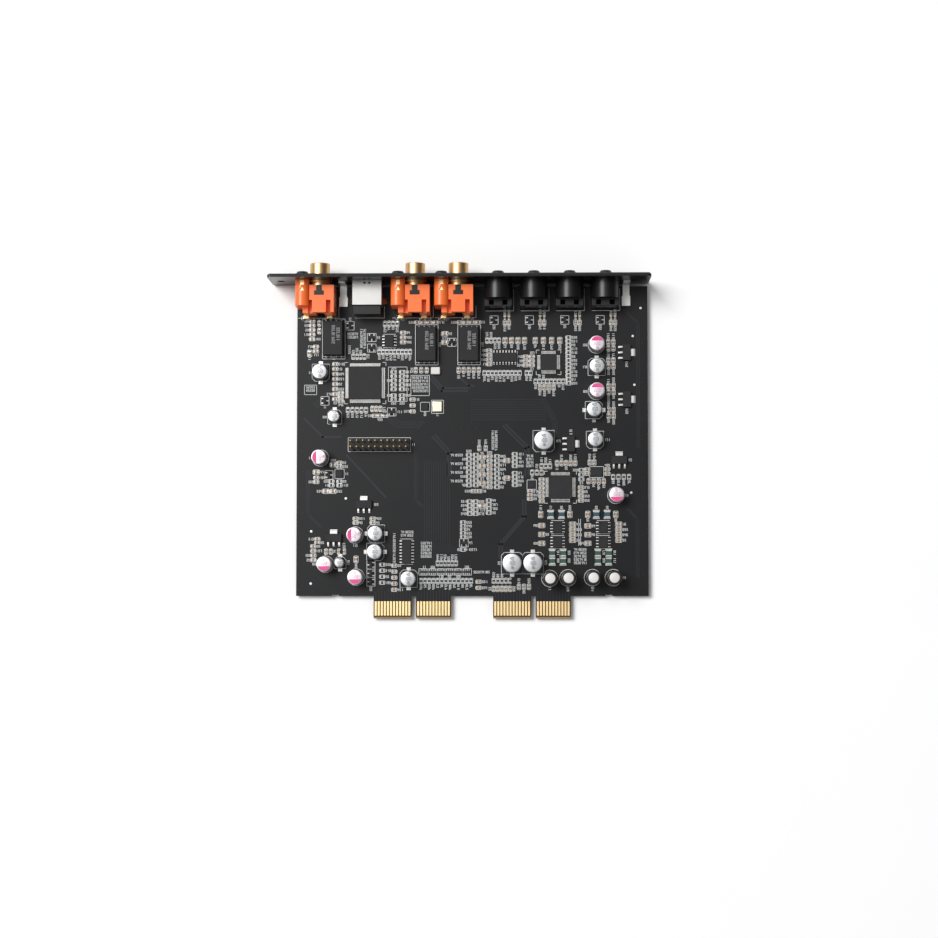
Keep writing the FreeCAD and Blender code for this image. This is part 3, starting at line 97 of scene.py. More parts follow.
# %% A socket that can be added and multiplied
class Shade:
    """One output socket of a material, or an empty start in its tree."""

    def __init__(self, tree, socket=None):
        self.tree = tree
        self.socket = socket

    def node(self, kind, settings, sockets, output=0):
        made = self.tree.nodes.new(kind)
        for name, value in settings.items():
            setattr(made, name, value)
        for key, value in sockets.items():
            if isinstance(value, Shade):
                self.tree.links.new(value.socket, made.inputs[key])
            else:
                made.inputs[key].default_value = value
        return Shade(self.tree, made.outputs[output])

    def maths(self, operation, first, second):
        return self.node("ShaderNodeMath", {"operation": operation}, {0: first, 1: second})

    def __add__(self, other):
        return self.maths("ADD", self, other)

    __radd__ = __add__

    def __mul__(self, other):
        return self.maths("MULTIPLY", self, other)

    def __sub__(self, other):
        return self.maths("SUBTRACT", self, other)


def paint(red, green, blue):
    """Colour as read off a picture, 0 to 255, turned into the linear light that shaders use."""
    parts = [value / 255 for value in (red, green, blue)]
    return tuple(p / 12.92 if p <= 0.04045 else ((p + 0.055) / 1.055) ** 2.4 for p in parts) + (1.0,)


print("shader class ready; mid grey is", round(paint(128, 128, 128)[0], 3))

# %% [markdown]
# ## Patterns that the finishes share
# Moulded, plated and painted surfaces all differ a little from place to place. Noise on Object
# coordinates does that and stays put when the card turns. Stretching the coordinates before the
# noise gives the drawn or brushed look of metal.

# %% Grain, streaks and bumps
noise_detail = 2.0


def object_place(start):
    return start.node("ShaderNodeTexCoord", {}, {}, output=3)


def grain(start, size, place=None):
    """Cloudy noise from 0 to 1, with blotches about size millimetres across."""
    sockets = {"Vector": place or object_place(start), "Scale": 1 / (size * mm), "Detail": noise_detail}
    return start.node("ShaderNodeTexNoise", {}, sockets)


def streaks(start, size, stretch):
    """Noise pulled out along an axis, as drawing or brushing leaves it."""
    pulled = start.node("ShaderNodeMapping", {}, {"Vector": object_place(start), "Scale": stretch})
    return grain(start, size, pulled)


def between(start, amount, first, second):
    """Colour between two colours."""
    return start.node("ShaderNodeMix", {"data_type": "RGBA"}, {0: amount, 6: first, 7: second}, output=2)


def relief(start, height, strength, depth):
    """Small bumps in a surface, depth in millimetres."""
    sockets = {"Height": height, "Strength": strength, "Distance": depth * mm}
    return start.node("ShaderNodeBump", {}, sockets)


looks = {}


def finish(name, build):
    """Adds a material whose Principled shader gets the values and sockets that build returns."""
    material = bpy.data.materials.new(name)
    material.use_nodes = True
    tree = material.node_tree
    surface = next(node for node in tree.nodes if node.type == "BSDF_PRINCIPLED")
    for key, value in build(Shade(tree)).items():
        if isinstance(value, Shade):
            tree.links.new(value.socket, surface.inputs[key])
        else:
            surface.inputs[key].default_value = value
    looks[name] = material


print("pattern helpers ready")

# %% [markdown]
# ## Board and print
# The board is glass cloth in resin under a black solder mask. The mask is glossy but not a mirror,
# and the weave of the cloth just shows through it, so two crossed waves make a very low relief.
# The white print is thick, dull ink, and copper under the mask makes slightly paler lines.

# %% Solder mask, covered copper and white ink
weave_scale = 420.0
bare_tip = -8.55


def mask_finish(dark, pale):
    def build(start):
        place = object_place(start)
        warp, weft = (start.node("ShaderNodeTexWave", {"bands_direction": way},
                                 {"Vector": place, "Scale": weave_scale}) for way in ("X", "Y"))
        cloud = grain(start, 14.0)
        return {
            "Base Color": between(start, cloud, dark, pale),
            "Roughness": 0.36 + cloud * 0.1,
            "Specular IOR Level": 0.25,
            "Normal": relief(start, warp * weft + grain(start, 0.3), 0.08, 0.015),
        }
    return build


def board_build(start):
    """Mask all over, with the tan core bare where the tongues' tips are bevelled."""
    made = mask_finish(paint(10, 11, 14), paint(15, 16, 19))(start)
    row = start.node("ShaderNodeSeparateXYZ", {}, {"Vector": object_place(start)}, output=1)
    bare = start.maths("LESS_THAN", row, bare_tip * mm)
    made["Base Color"] = between(start, bare, made["Base Color"], paint(150, 128, 92))
    return made


def ink_build(start):
    cloud = grain(start, 1.2)
    return {
        "Base Color": between(start, cloud, paint(214, 216, 216), paint(238, 239, 238)),
        "Roughness": 0.5 + cloud * 0.2,
        "Normal": relief(start, grain(start, 0.15), 0.3, 0.01),
    }


finish("solder_mask", board_build)
finish("covered_copper", mask_finish(paint(32, 33, 38), paint(40, 41, 46)))
finish("white_ink", ink_build)
print("board finishes:", ", ".join(looks))

# %% [markdown]
# ## Metals
# Gold plating, tin, nickel and drawn aluminium differ in colour and in how sharp their
# reflections are. All are fully metallic; streaks change the roughness as the tool left it.

# %% Plated and drawn metals
def metal_finish(dull, bright, rough, spread, stretch):
    def build(start):
        drawn = streaks(start, 1.4, stretch)
        return {
            "Base Color": between(start, grain(start, 5.0), paint(*dull), paint(*bright)),
            "Metallic": 1.0,
            "Roughness": rough + drawn * spread,
            "Normal": relief(start, drawn, 0.05, 0.006),
        }
    return build


# Dull and bright colour, roughness and its spread, stretch of the marks that drawing leaves
metals = {
    "gold_plate": ((236, 202, 144), (250, 220, 168), 0.28, 0.2, (6, 0.5, 1)),
    "barrel_gold": ((206, 166, 116), (226, 188, 140), 0.3, 0.16, (1, 5, 1)),
    "tinned_metal": ((196, 195, 192), (214, 213, 210), 0.3, 0.16, (1, 1, 1)),
    "bright_shield": ((164, 163, 161), (176, 175, 173), 0.38, 0.1, (0.3, 3, 1)),
    "polymer_metal": ((214, 208, 212), (230, 224, 228), 0.36, 0.16, (1, 1, 4)),
    "can_metal": ((188, 189, 191), (206, 207, 209), 0.32, 0.16, (1, 1, 4)),
    "lid_metal": ((206, 198, 178), (222, 214, 196), 0.32, 0.15, (1, 4, 1)),
    "solder": ((202, 202, 199), (226, 226, 223), 0.18, 0.2, (1, 1, 1)),
}
for name, values in metals.items():
    finish(name, metal_finish(*values))
print("metal finishes:", len(metals))

# %% [markdown]
# ## Mouldings, paint and ceramics
# Moulded parts show the fine sparked grain of their tool, paint shows a slight orange peel, and
# fired ceramic is dull with small specks. Each gets its own grain size and gloss.

# %% Plastics, paint and ceramics
def plain_finish(dark, pale, rough, spread, grain_size, depth, gloss=0.5):
    def build(start):
        fine_grain = grain(start, grain_size)
        cloud = grain(start, 20 * grain_size)
        return {
            "Base Color": between(start, cloud, paint(*dark), paint(*pale)),
            "Roughness": rough + fine_grain * spread,
            "Specular IOR Level": gloss,
            "Normal": relief(start, fine_grain, 0.35, depth),
        }
    return build


# Dark and pale colour, roughness and its spread, size and depth of the grain, and gloss if not 0.5
plain_looks = {
    "black_paint": ((13, 13, 14), (18, 18, 19), 0.2, 0.1, 0.8, 0.012, 0.3),
    "black_steel": ((20, 20, 21), (34, 34, 35), 0.3, 0.2, 0.3, 0.01),
    "orange_moulding": ((246, 106, 40), (252, 126, 58), 0.26, 0.14, 0.4, 0.01),
    "black_moulding": ((16, 16, 17), (22, 22, 23), 0.26, 0.12, 0.25, 0.006, 0.34),
    # A dull black with no gloss, used only to paint the shade inside the optical sockets' pockets
    "pocket_shade_black": ((4, 4, 4), (7, 7, 7), 0.85, 0.1, 0.3, 0.005, 0.0),
    "smoked_resin": ((34, 22, 22), (44, 28, 28), 0.1, 0.08, 1.0, 0.006),
    "sleeve_film": ((24, 17, 17), (34, 25, 24), 0.2, 0.1, 0.6, 0.01),
    "pale_cap": ((210, 209, 205), (226, 225, 221), 0.35, 0.2, 0.5, 0.01),
    "pink_ink": ((212, 62, 130), (224, 84, 148), 0.4, 0.2, 0.3, 0.008),
    "faded_pink": ((190, 128, 154), (204, 146, 170), 0.45, 0.2, 0.3, 0.008),
    "grey_ink": ((74, 76, 82), (100, 102, 108), 0.5, 0.2, 0.3, 0.008),
    "pale_ink": ((150, 151, 153), (174, 175, 177), 0.5, 0.2, 0.3, 0.008, 0.2),
    "chip_resin": ((34, 34, 36), (43, 43, 45), 0.5, 0.2, 0.16, 0.01, 0.24),
    "transformer_resin": ((24, 24, 26), (31, 31, 33), 0.45, 0.2, 0.35, 0.014, 0.26),
    "tan_ceramic": ((150, 120, 92), (172, 140, 110), 0.5, 0.2, 0.2, 0.01),
    "dark_glaze": ((26, 26, 29), (38, 38, 42), 0.25, 0.2, 0.3, 0.01),
    "film_green": ((26, 64, 56), (42, 84, 72), 0.3, 0.2, 0.3, 0.01),
    "film_blue": ((26, 60, 70), (40, 80, 92), 0.3, 0.2, 0.3, 0.01),
}
for name, values in plain_looks.items():
    finish(name, plain_finish(*values))
print("moulding, paint and ceramic finishes:", len(plain_looks))

# %% [markdown]
# ## Table and lamp
# The card lies on a white table under one large soft lamp from the upper left. The lamp is far
# away, so that the table is equally white from corner to corner.

# %% Table and lamp
floor_level = cad_box[0][2]
table_size = 4.0
table_middle = Vector((0, 0.06, 0))
table_mesh = bmesh.new()
bmesh.ops.create_grid(table_mesh, x_segments=2, y_segments=2, size=table_size / 2)
bmesh.ops.translate(table_mesh, vec=table_middle + Vector((0, 0, floor_level)), verts=table_mesh.verts)
table_data = bpy.data.meshes.new("table")
table_mesh.to_mesh(table_data)
table = bpy.data.objects.new("table", table_data)
bpy.context.scene.collection.objects.link(table)


def table_build(start):
    cloud = grain(start, 60.0)
    return {
        "Base Color": between(start, cloud, (0.95, 0.95, 0.95, 1), (0.97, 0.97, 0.97, 1)),
        "Roughness": 0.7,
        "Specular IOR Level": 0.2,
    }


finish("white_table", table_build)
table_data.materials.append(looks["white_table"])

lamp_power = 157.0
lamp_size = 1.9
lamp_place = Vector((-1.9, 1.15, 3.5))
lamp_data = bpy.data.lights.new("soft_lamp", "AREA")
lamp_data.energy = lamp_power
lamp_data.size = lamp_size
lamp = bpy.data.objects.new("soft_lamp", lamp_data)
lamp.location = lamp_place
lamp.rotation_euler = (table_middle - lamp_place).to_track_quat("-Z", "Y").to_euler()
bpy.context.scene.collection.objects.link(lamp)
print("floor level in mm:", round(floor_level / mm, 2))

# %% [markdown]
# ## The room
# The ceiling is white and the walls are dim. Reflections see that change from ceiling to wall, so
# barrels and vaults get one bright streak and dark sides. The light that falls on matt surfaces
# stays even, because only rays that are seen, mirrored or let through meet the ceiling.

# %% Ceiling and walls
room_light = 0.35
wall_light = 0.1
ceiling_light = 0.9
ceiling_way = Vector((-0.42, 0.36, 0.83)).normalized()
wall_ends, ceiling_starts = 0.5, 0.95
room = bpy.data.worlds.new("white_room")
room.use_nodes = True
bpy.context.scene.world = room
rays = Shade(room.node_tree)
seen, mirrored, through = (rays.node("ShaderNodeLightPath", {}, {}, output=kind) for kind in (0, 3, 6))
direct = rays.maths("MAXIMUM", seen, rays.maths("MAXIMUM", mirrored, through))
ray_way = rays.node("ShaderNodeTexCoord", {}, {}, output=0)
height = rays.node("ShaderNodeVectorMath", {"operation": "DOT_PRODUCT"},
                   {0: ray_way, 1: ceiling_way}, output=1)
ceiling = rays.node("ShaderNodeMapRange", {"interpolation_type": "SMOOTHSTEP"},
                    {0: height, 1: wall_ends, 2: ceiling_starts, 3: wall_light, 4: ceiling_light})
backdrop = next(node for node in room.node_tree.nodes if node.type == "BACKGROUND")
backdrop.inputs["Color"].default_value = (1, 1, 1, 1)
strength = room_light + direct * (ceiling - room_light)
room.node_tree.links.new(strength.socket, backdrop.inputs["Strength"])
print("light of walls and ceiling:", wall_light, ceiling_light)

# %% [markdown]
# ## From CAD solids to finished pieces
# A CAD node comes as loose triangles with knife-sharp edges. A copy is welded, its flat triangles
# are joined, and its sharp edges get a small round. The real mouldings and stampings all have such
# a round, and it is what catches the light. The normals stored with the CAD triangles don't fit the
# new faces, so they go. Large faces then set the new normals, which keeps flat faces flat.

# %% Rounding a copy of a node
slight_turn = math.radians(1)
sharp_turn = math.radians(40)


def place_piece(name, shape, look, sharp=35.0, instead=None):
    """Makes a bmesh in metres an object of the card, perhaps in place of a node."""
    data = bpy.data.meshes.new(name)
    shape.to_mesh(data)
    shape.free()
    stale = data.attributes.get("custom_normal")
    if stale:
        data.attributes.remove(stale)
    data.set_sharp_from_angle(angle=math.radians(sharp))
    data.materials.append(looks[look])
    made = bpy.data.objects.new(name, data)
    bpy.context.scene.collection.objects.link(made)
    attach(made, "root")
    if instead:
        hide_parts(instead)
    return made


def welded(node):
    shape = bmesh.new()
    shape.from_mesh(card[node].data)
    bmesh.ops.remove_doubles(shape, verts=shape.verts, dist=1e-6)
    return shape


def flatten_shading(data):
    """Weighs each vertex normal by the areas round it, so that flats look flat and rounds turn."""
    normals = [Vector() for _ in data.vertices]
    for face in data.polygons:
        for vertex in face.vertices:
            normals[vertex] += face.normal * face.area
    data.normals_split_custom_set_from_vertices([normal.normalized() for normal in normals])


def rounded(node, look, width):
    """Copy of a node with its sharp edges rounded by width millimetres, in place of the node."""
    shape = welded(node)
    bmesh.ops.dissolve_limit(shape, angle_limit=slight_turn, verts=shape.verts, edges=shape.edges)
    if width:
        edges = [edge for edge in shape.edges if edge.calc_face_angle(0) > sharp_turn]
        bmesh.ops.bevel(shape, geom=edges, offset=width * mm, offset_type="OFFSET", segments=2,
                        profile=0.5, affect="EDGES", clamp_overlap=True, material=-1)
    made = place_piece(node + "_rounded", shape, look, 180.0 if width else 25.0, node)
    if width:
        flatten_shading(made.data)


def coated(node, look):
    """Leaves a node's shape alone and gives it a finish."""
    card[node].data.materials.clear()
    card[node].data.materials.append(looks[look])


coated("main_board", "solder_mask")
for face in ("upper", "lower"):
    coated("edge_contacts_" + face, "gold_plate")
rounded("rear_panel", "black_paint", 0.15)
rounded("panel_screws", "black_steel", 0.05)
for side in ("left", "right"):
    rounded("ground_bracket_" + side, "tinned_metal", 0.08)
print("panel and board dressed")

# %% [markdown]
# ## Sockets along the panel
# Three orange coaxial jacks, one square bright USB socket and four black optical sockets fill the
# panel. Their solids already have the right forms, so each only needs its round and its finish.

# %% Coaxial, USB and optical sockets
for number in (1, 2, 3):
    rounded("coax_housing_%d" % number, "orange_moulding", 0.15)
    rounded("coax_shell_%d" % number, "barrel_gold", 0.05)
    rounded("coax_insulator_%d" % number, "black_moulding", 0.0)
    rounded("coax_contact_%d" % number, "gold_plate", 0.0)
    rounded("coax_lock_%d" % number, "black_moulding", 0.08)
rounded("coax_screw_clips", "gold_plate", 0.05)
rounded("coax_ground_legs", "gold_plate", 0.04)
rounded("usb_shield", "bright_shield", 0.08)
rounded("usb_insulator", "black_moulding", 0.08)
rounded("usb_contacts", "gold_plate", 0.0)
optical_housings = ["optical_housing_%d" % number for number in (1, 2, 3, 4)]
for number, housing in enumerate(optical_housings, 1):
    rounded(housing, "black_moulding", 0.12)
    rounded("optical_receiver_%d" % number, "smoked_resin", 0.08)
rounded("optical_leads", "tinned_metal", 0.0)
print("sockets dressed")

# %% [markdown]
# ## Pockets of the optical sockets
# Two square pockets in the ledge of each optical socket let the mould's core pins out. Inside, the
# pockets lie in deep shade, and a thin plate of dull black on each floor paints that shade.

# %% Painted shade in the pockets
pocket_offset = 2.8
pocket_setback = 1.5
pocket_floor = 8.62
pocket_size = 2.0
shade_plate_thickness = 0.05


def box_of(node):
    """Lowest and highest corner of a node, in millimetres."""
    return [Vector(corner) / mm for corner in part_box(node)]


# Each plate is painted shade: a thin dull black plate on a pocket's floor stands for the shade inside
shade_plates = bmesh.new()
plate = Matrix.Diagonal((pocket_size * mm, pocket_size * mm, shade_plate_thickness * mm, 1))
for housing in optical_housings:
    low, high = box_of(housing)
    for side in (-1, 1):
        x = (low.x + high.x) / 2 + side * pocket_offset
        spot = Vector((x, low.y + pocket_setback, low.z + pocket_floor))
        bmesh.ops.create_cube(shade_plates, size=1.0, matrix=Matrix.Translation(spot * mm) @ plate)
place_piece("optical_pocket_shade", shade_plates, "pocket_shade_black")
print("pocket floors:", 2 * len(optical_housings))

# %% [markdown]
# ## Header, chips and transformers
# Chip bodies are moulded in two halves and have a soft edge; the pins and leads are stamped.

# %% Header, chip bodies, regulators and transformers
rounded("header_strip", "black_moulding", 0.08)
rounded("header_pins", "gold_plate", 0.03)
for node in ("processor_chip", "converter_chip", "interface_chip"):
    rounded(node, "chip_resin", 0.08)
for node in ("sixteen_pin_chips", "eight_pin_chips", "leadless_chips", "regulators"):
    rounded(node, "chip_resin", 0.07)
for node in ("chip_leads", "regulator_leads", "transformer_leads"):
    rounded(node, "tinned_metal", 0.03)
rounded("pulse_transformers", "transformer_resin", 0.15)
rounded("clock_oscillator", "lid_metal", 0.1)
rounded("capacitor_bases", "black_moulding", 0.06)
rounded("capacitor_tabs", "tinned_metal", 0.05)
rounded("capacitor_leads", "tinned_metal", 0.0)
print("header, chips and transformers dressed")

# %% [markdown]
# ## Finding the separate solids
# Many nodes hold a row of equal solids, such as a hundred chip resistors. Walking from vertex to
# vertex finds each solid. Its box then says where a mark, a label or a solder joint belongs, so
# the places are written only once, in the CAD source.

# %% Boxes of the solids in a node
def solids_in(node):
    """Lowest corner, highest corner and points, in millimetres, of each separate solid of a node."""
    shape = welded(node)
    left = set(shape.verts)
    solids = []
    while left:
        group = [left.pop()]
        for vert in group:
            for edge in vert.link_edges:
                other = edge.other_vert(vert)
                if other in left:
                    left.remove(other)
                    group.append(other)
        points = [vert.co / mm for vert in group]
        low = Vector([min(point[axis] for point in points) for axis in range(3)])
        high = Vector([max(point[axis] for point in points) for axis in range(3)])
        solids.append((low, high, points))
    shape.free()
    return sorted(solids, key=lambda solid: (round(solid[0].x, 2), round(solid[0].y, 2)))


def middle_of(solid):
    return (solid[0] + solid[1]) / 2


def at_height(solid, z):
    """Place in the middle of a solid as seen from above, at a height of its own."""
    return (*middle_of(solid).xy, z)


board_low, board_high = box_of("main_board")
board_top = board_high.z
board_under = board_low.z
print("chip capacitors on the board:", len(solids_in("chip_capacitors")))

# %% [markdown]
# ## Stamping small shapes
# A lead, a joint or a digit is modelled once, in millimetres at the origin, and copied to every
# place that needs it. The copies share one mesh object, so the scene stays light.

# %% Patterns and stamps
def pattern_of(shape):
    """Turns a bmesh into a mesh that can be stamped many times."""
    data = bpy.data.meshes.new("pattern")
    shape.to_mesh(data)
    shape.free()
    return data


def stamp(shape, pattern, place, degrees=0.0):
    """Copies a pattern into shape, turned about Z and moved to place."""
    first = len(shape.verts)
    shape.from_mesh(pattern)
    shape.verts.ensure_lookup_table()
    move = Matrix.Translation(place) @ Matrix.Rotation(math.radians(degrees), 4, "Z")
    bmesh.ops.transform(shape, matrix=move, verts=shape.verts[first:])


def add_block(shape, low, high, round_by=0.0):
    """Adds a block between two corners, its edges rounded off."""
    size = Vector(high) - Vector(low)
    place = Matrix.Translation((Vector(low) + Vector(high)) / 2) @ Matrix.Diagonal((*size, 1))
    made = bmesh.ops.create_cube(shape, size=1.0, matrix=place)
    if round_by:
        edges = list({edge for vert in made["verts"] for edge in vert.link_edges})
        bmesh.ops.bevel(shape, geom=edges, offset=round_by, offset_type="OFFSET", segments=1,
                        profile=0.5, affect="EDGES", material=-1)


def turned_pattern(profile, steps=40):
    """Spins a profile of (radius, height) points into a closed form round the Z axis."""
    shape = bmesh.new()
    verts = [shape.verts.new((radius, 0, height)) for radius, height in profile]
    edges = [shape.edges.new(pair) for pair in zip(verts, verts[1:])]
    bmesh.ops.spin(shape, geom=verts + edges, cent=(0, 0, 0), axis=(0, 0, 1), angle=2 * math.pi,
                   steps=steps, use_merge=True)
    bmesh.ops.remove_doubles(shape, verts=shape.verts, dist=1e-4)
    bmesh.ops.recalc_face_normals(shape, faces=shape.faces)
    return pattern_of(shape)


def place_small(name, shape, look, sharp=35.0, instead=None):
    """Scales a shape from millimetres and makes it a piece of the card."""
    bmesh.ops.scale(shape, vec=(mm, mm, mm), verts=shape.verts)
    place_piece(name, shape, look, sharp, instead)


print("stamping helpers ready")

# %% [markdown]
# ## Silver can capacitors
# Each can is drawn from aluminium sheet: a rounded rim, straight walls and a crimped groove above
# the foot. A profile spun round the axis gives all of that at once. The tops carry a few grey
# printed figures, here plain numbers, added further down.

# %% Silver cans
rim_round = 0.42
groove_middle = 1.9
groove_reach = 0.45
groove_core = 0.2
groove_depth = 0.22


def rim_points(radius, height, curl=rim_round):
    """Quarter round from the wall to the flat top."""
    angles = [math.radians(step * 22.5) for step in range(5)]
    return [(radius - curl * (1 - math.cos(a)), height - curl * (1 - math.sin(a))) for a in angles]


def can_profile(radius, height):
    shoulder = radius - 0.6 * groove_depth
    waist = [(radius, groove_middle - groove_reach), (shoulder, groove_middle - groove_core),
             (radius - groove_depth, groove_middle), (shoulder, groove_middle + groove_core),
             (radius, groove_middle + groove_reach)]
    return [(0, 0), (radius, 0)] + waist + rim_points(radius, height) + [(0, height)]


silver_cans = solids_in("silver_capacitors")
cans = bmesh.new()
for solid in silver_cans:
    low, high, _ = solid
    can_pattern = turned_pattern(can_profile((high.x - low.x) / 2, high.z - low.z))
    stamp(cans, can_pattern, at_height(solid, low.z))
place_small("silver_cans", cans, "can_metal", 25, "silver_capacitors")
print("silver cans:", len(silver_cans))

# %% [markdown]
# ## Pads under the cans' tabs
# Each silver can is soldered by two flat tabs that reach out from under its base. The copper pad is
# wider and longer than the tab, and the solder that wets it makes a bright step at the base's edge.

# %% Soldered pads
tab_pad_half = 0.9
tab_pad_length = 1.5
tab_pad_rise = 0.13
single = bmesh.new()
add_block(single, (-tab_pad_half, -0.1, 0), (tab_pad_half, tab_pad_length, tab_pad_rise), 0.06)
tab_pad_pattern = pattern_of(single)
base_middles = [middle_of(solid).xy for solid in solids_in("capacitor_bases")]
tab_pads = bmesh.new()
tab_pad_ends = []
for solid in solids_in("capacitor_tabs"):
    tab = middle_of(solid).xy
    base = min(base_middles, key=lambda place: (place - tab).length)
    outward = (tab - base).normalized()
    tab_length = (solid[1] - solid[0]).xy.dot(Vector((abs(outward.x), abs(outward.y))))
    root = tab - outward * tab_length / 2
    degrees = math.degrees(math.atan2(-outward.x, outward.y))
    stamp(tab_pads, tab_pad_pattern, (root.x, root.y, board_top), degrees)
    tab_pad_ends.append(root + outward * tab_pad_length)
place_small("tab_pads", tab_pads, "solder")
print("pads under the cans:", len(tab_pad_ends))

# %% [markdown]
# ## Polymer capacitors
# These stand on their leads, have no groove, and show which lead is negative by a pink segment
# printed on the top. Cutting a disc with bisect_plane gives the segment its straight edge.

# %% Polymer cans with their pink mark
mark_share = 0.28
mark_thickness = 0.012
seal_height = 0.5
# Turn of the mark in degrees, by the place of the can
mark_turns = {(-63.2, 57.4): 90, (-48.6, 25.3): 90, (-60.9, 13.2): 180, (-48.1, 7.8): 180,
              (51.8, 104.4): 0, (51.8, 85.0): 0, (59.7, 41.7): 180}


def mark_turn(solid):
    middle = middle_of(solid).xy
    return mark_turns[min(mark_turns, key=lambda place: (Vector(place) - middle).length)]


def polymer_profile(radius, height):
    neck = radius - 0.25
    foot = [(0, 0), (neck, 0), (neck, seal_height), (radius, seal_height + 0.3)]
    return foot + rim_points(radius, height) + [(0, height)]


def segment_pattern(radius, from_middle, thickness):
    """Disc cut along a line, keeping the part beyond it, raised a little."""
    shape = bmesh.new()
    bmesh.ops.create_circle(shape, cap_ends=True, radius=radius, segments=48)
    bmesh.ops.bisect_plane(shape, geom=shape.verts[:] + shape.edges[:] + shape.faces[:],
                           plane_co=(0, from_middle, 0), plane_no=(0, 1, 0), clear_inner=True)
    raised = bmesh.ops.extrude_face_region(shape, geom=shape.faces[:])
    verts = [item for item in raised["geom"] if isinstance(item, bmesh.types.BMVert)]
    bmesh.ops.translate(shape, vec=(0, 0, thickness), verts=verts)
    bmesh.ops.recalc_face_normals(shape, faces=shape.faces)
    return pattern_of(shape)


polymer_cans = solids_in("polymer_capacitors")
low, high, _ = polymer_cans[0]
polymer_radius = (high.x - low.x) / 2
polymer_pattern = turned_pattern(polymer_profile(polymer_radius, high.z - low.z))
pink_pattern = segment_pattern(polymer_radius - rim_round, mark_share * polymer_radius, mark_thickness)
cans, marks = bmesh.new(), bmesh.new()
for solid in polymer_cans:
    stamp(cans, polymer_pattern, at_height(solid, solid[0].z))
    stamp(marks, pink_pattern, at_height(solid, solid[1].z - mark_thickness / 2), mark_turn(solid))
place_small("polymer_cans", cans, "polymer_metal", 25, "polymer_capacitors")
place_small("pink_marks", marks, "pink_ink")
print("polymer cans with pink marks:", len(polymer_cans))

# %% [markdown]
# ## Sleeved capacitors
# The four tall capacitors wear a dark shrunk sleeve that curls over the rim and leaves a pale round
# of the can bare. Two turned profiles make the sleeve and the round.

# %% Sleeves and pale tops
sleeve_lip = 1.05
sleeve_dish = 0.25
sleeve_curl = 0.5


def sleeve_profile(radius, height):
    inner, dish = radius - sleeve_lip, height - sleeve_dish
    mouth = [(inner, height - 0.05), (inner, dish), (0, dish)]
    return [(0, 0), (radius, 0)] + rim_points(radius, height, sleeve_curl) + mouth


sleeved = solids_in("sleeved_capacitors")
low, high, _ = sleeved[0]
sleeve_radius = (high.x - low.x) / 2
sleeve_pattern = turned_pattern(sleeve_profile(sleeve_radius, high.z - low.z))
bare = sleeve_radius - sleeve_lip
cap_pattern = turned_pattern([(0, 0), (bare, 0), (bare, 0.05), (bare - 0.1, 0.1), (0, 0.1)])
sleeves, caps = bmesh.new(), bmesh.new()
for solid in sleeved:
    stamp(sleeves, sleeve_pattern, at_height(solid, solid[0].z))
    stamp(caps, cap_pattern, at_height(solid, solid[1].z - sleeve_dish))
place_small("capacitor_sleeves", sleeves, "sleeve_film", 30, "sleeved_capacitors")
place_small("sleeve_tops", caps, "pale_cap", 30)
print("sleeved capacitors:", len(sleeved))

# %% [markdown]
# ## Chip resistors and chip capacitors
# A chip part is a small ceramic block whose ends are dipped in metal and soldered down to pads.
# The block stands between the end caps, and a solder fillet slopes from each cap to its pad.

# %% Blocks, end caps and pads
cap_share = 0.24
pad_reach = 0.48
pad_border = 0.12
pad_thickness = 0.05


def chip_patterns(length, width, height):
    """Ceramic block and metal ends of one chip lying along X."""
    block = bmesh.new()
    inner = length / 2 - cap_share * length
    half = width / 2
    add_block(block, (-inner, 0.02 - half, 0.03), (inner, half - 0.02, height - 0.03), 0.04)
    ends = bmesh.new()
    for side in (-1, 1):
        near, far = sorted((side * (inner - 0.02), side * length / 2))
        add_block(ends, (near, -half, 0), (far, half, height), 0.05)
        near, far = sorted((side * (inner + 0.05), side * (length / 2 + pad_reach)))
        add_block(ends, (near, -half - pad_border, 0), (far, half + pad_border, pad_thickness))
        near, far = sorted((side * (length / 2 - 0.05), side * (length / 2 + 0.75 * pad_reach)))
        place = (Matrix.Translation(((near + far) / 2, 0, 0.3 * height))
                 @ Matrix.Diagonal((far - near, 0.9 * width, 0.6 * height, 1)))
        fillet = bmesh.ops.create_cube(ends, size=1.0, matrix=place)["verts"]
        outer = [vert for vert in fillet if abs(vert.co.x) > length / 2 and vert.co.z > 0.3 * height]
        bmesh.ops.translate(ends, vec=(0, 0, 0.02 - 0.6 * height), verts=outer)
    return pattern_of(block), pattern_of(ends)


known_chips = {}
chip_ends = bmesh.new()
for node, look, slot in (("chip_resistors", "dark_glaze", "resistor_glaze"),
                         ("chip_capacitors", "tan_ceramic", "capacitor_ceramic")):
    blocks = bmesh.new()
    for solid in solids_in(node):
        size = solid[1] - solid[0]
        degrees = 0 if size.x > size.y else 90
        key = tuple(round(v, 2) for v in (max(size.xy), min(size.xy), size.z))
        if key not in known_chips:
            known_chips[key] = chip_patterns(*key)
        for shape, pattern in zip((blocks, chip_ends), known_chips[key]):
            stamp(shape, pattern, at_height(solid, board_top), degrees)
    place_small(node + "_blocks", blocks, look, instead=node)
place_small("chip_ends", chip_ends, "solder")
print("kinds of chip:", sorted(known_chips))

# %% [markdown]
# ## Resistor arrays
# Four resistors share one ceramic block, with a short metal end for each on both long sides.

# %% Arrays and their ends
array_count = 4
array_end_half = 0.22
array_end_height = 0.3
arrays, array_ends = bmesh.new(), bmesh.new()
for low, high, _ in solids_in("resistor_arrays"):
    add_block(arrays, (low.x, low.y + 0.25, board_top + 0.03), (high.x, high.y - 0.25, high.z), 0.05)
    pitch = (high.x - low.x) / array_count
    for step in range(array_count):
        x = low.x + (step + 0.5) * pitch
        for y0, y1 in ((low.y - 0.3, low.y + 0.35), (high.y - 0.35, high.y + 0.3)):
            add_block(array_ends, (x - array_end_half, y0, board_top),
                      (x + array_end_half, y1, board_top + array_end_height), 0.06)
place_small("resistor_array_blocks", arrays, "dark_glaze", instead="resistor_arrays")
place_small("resistor_array_ends", array_ends, "solder")
print("arrays dressed")

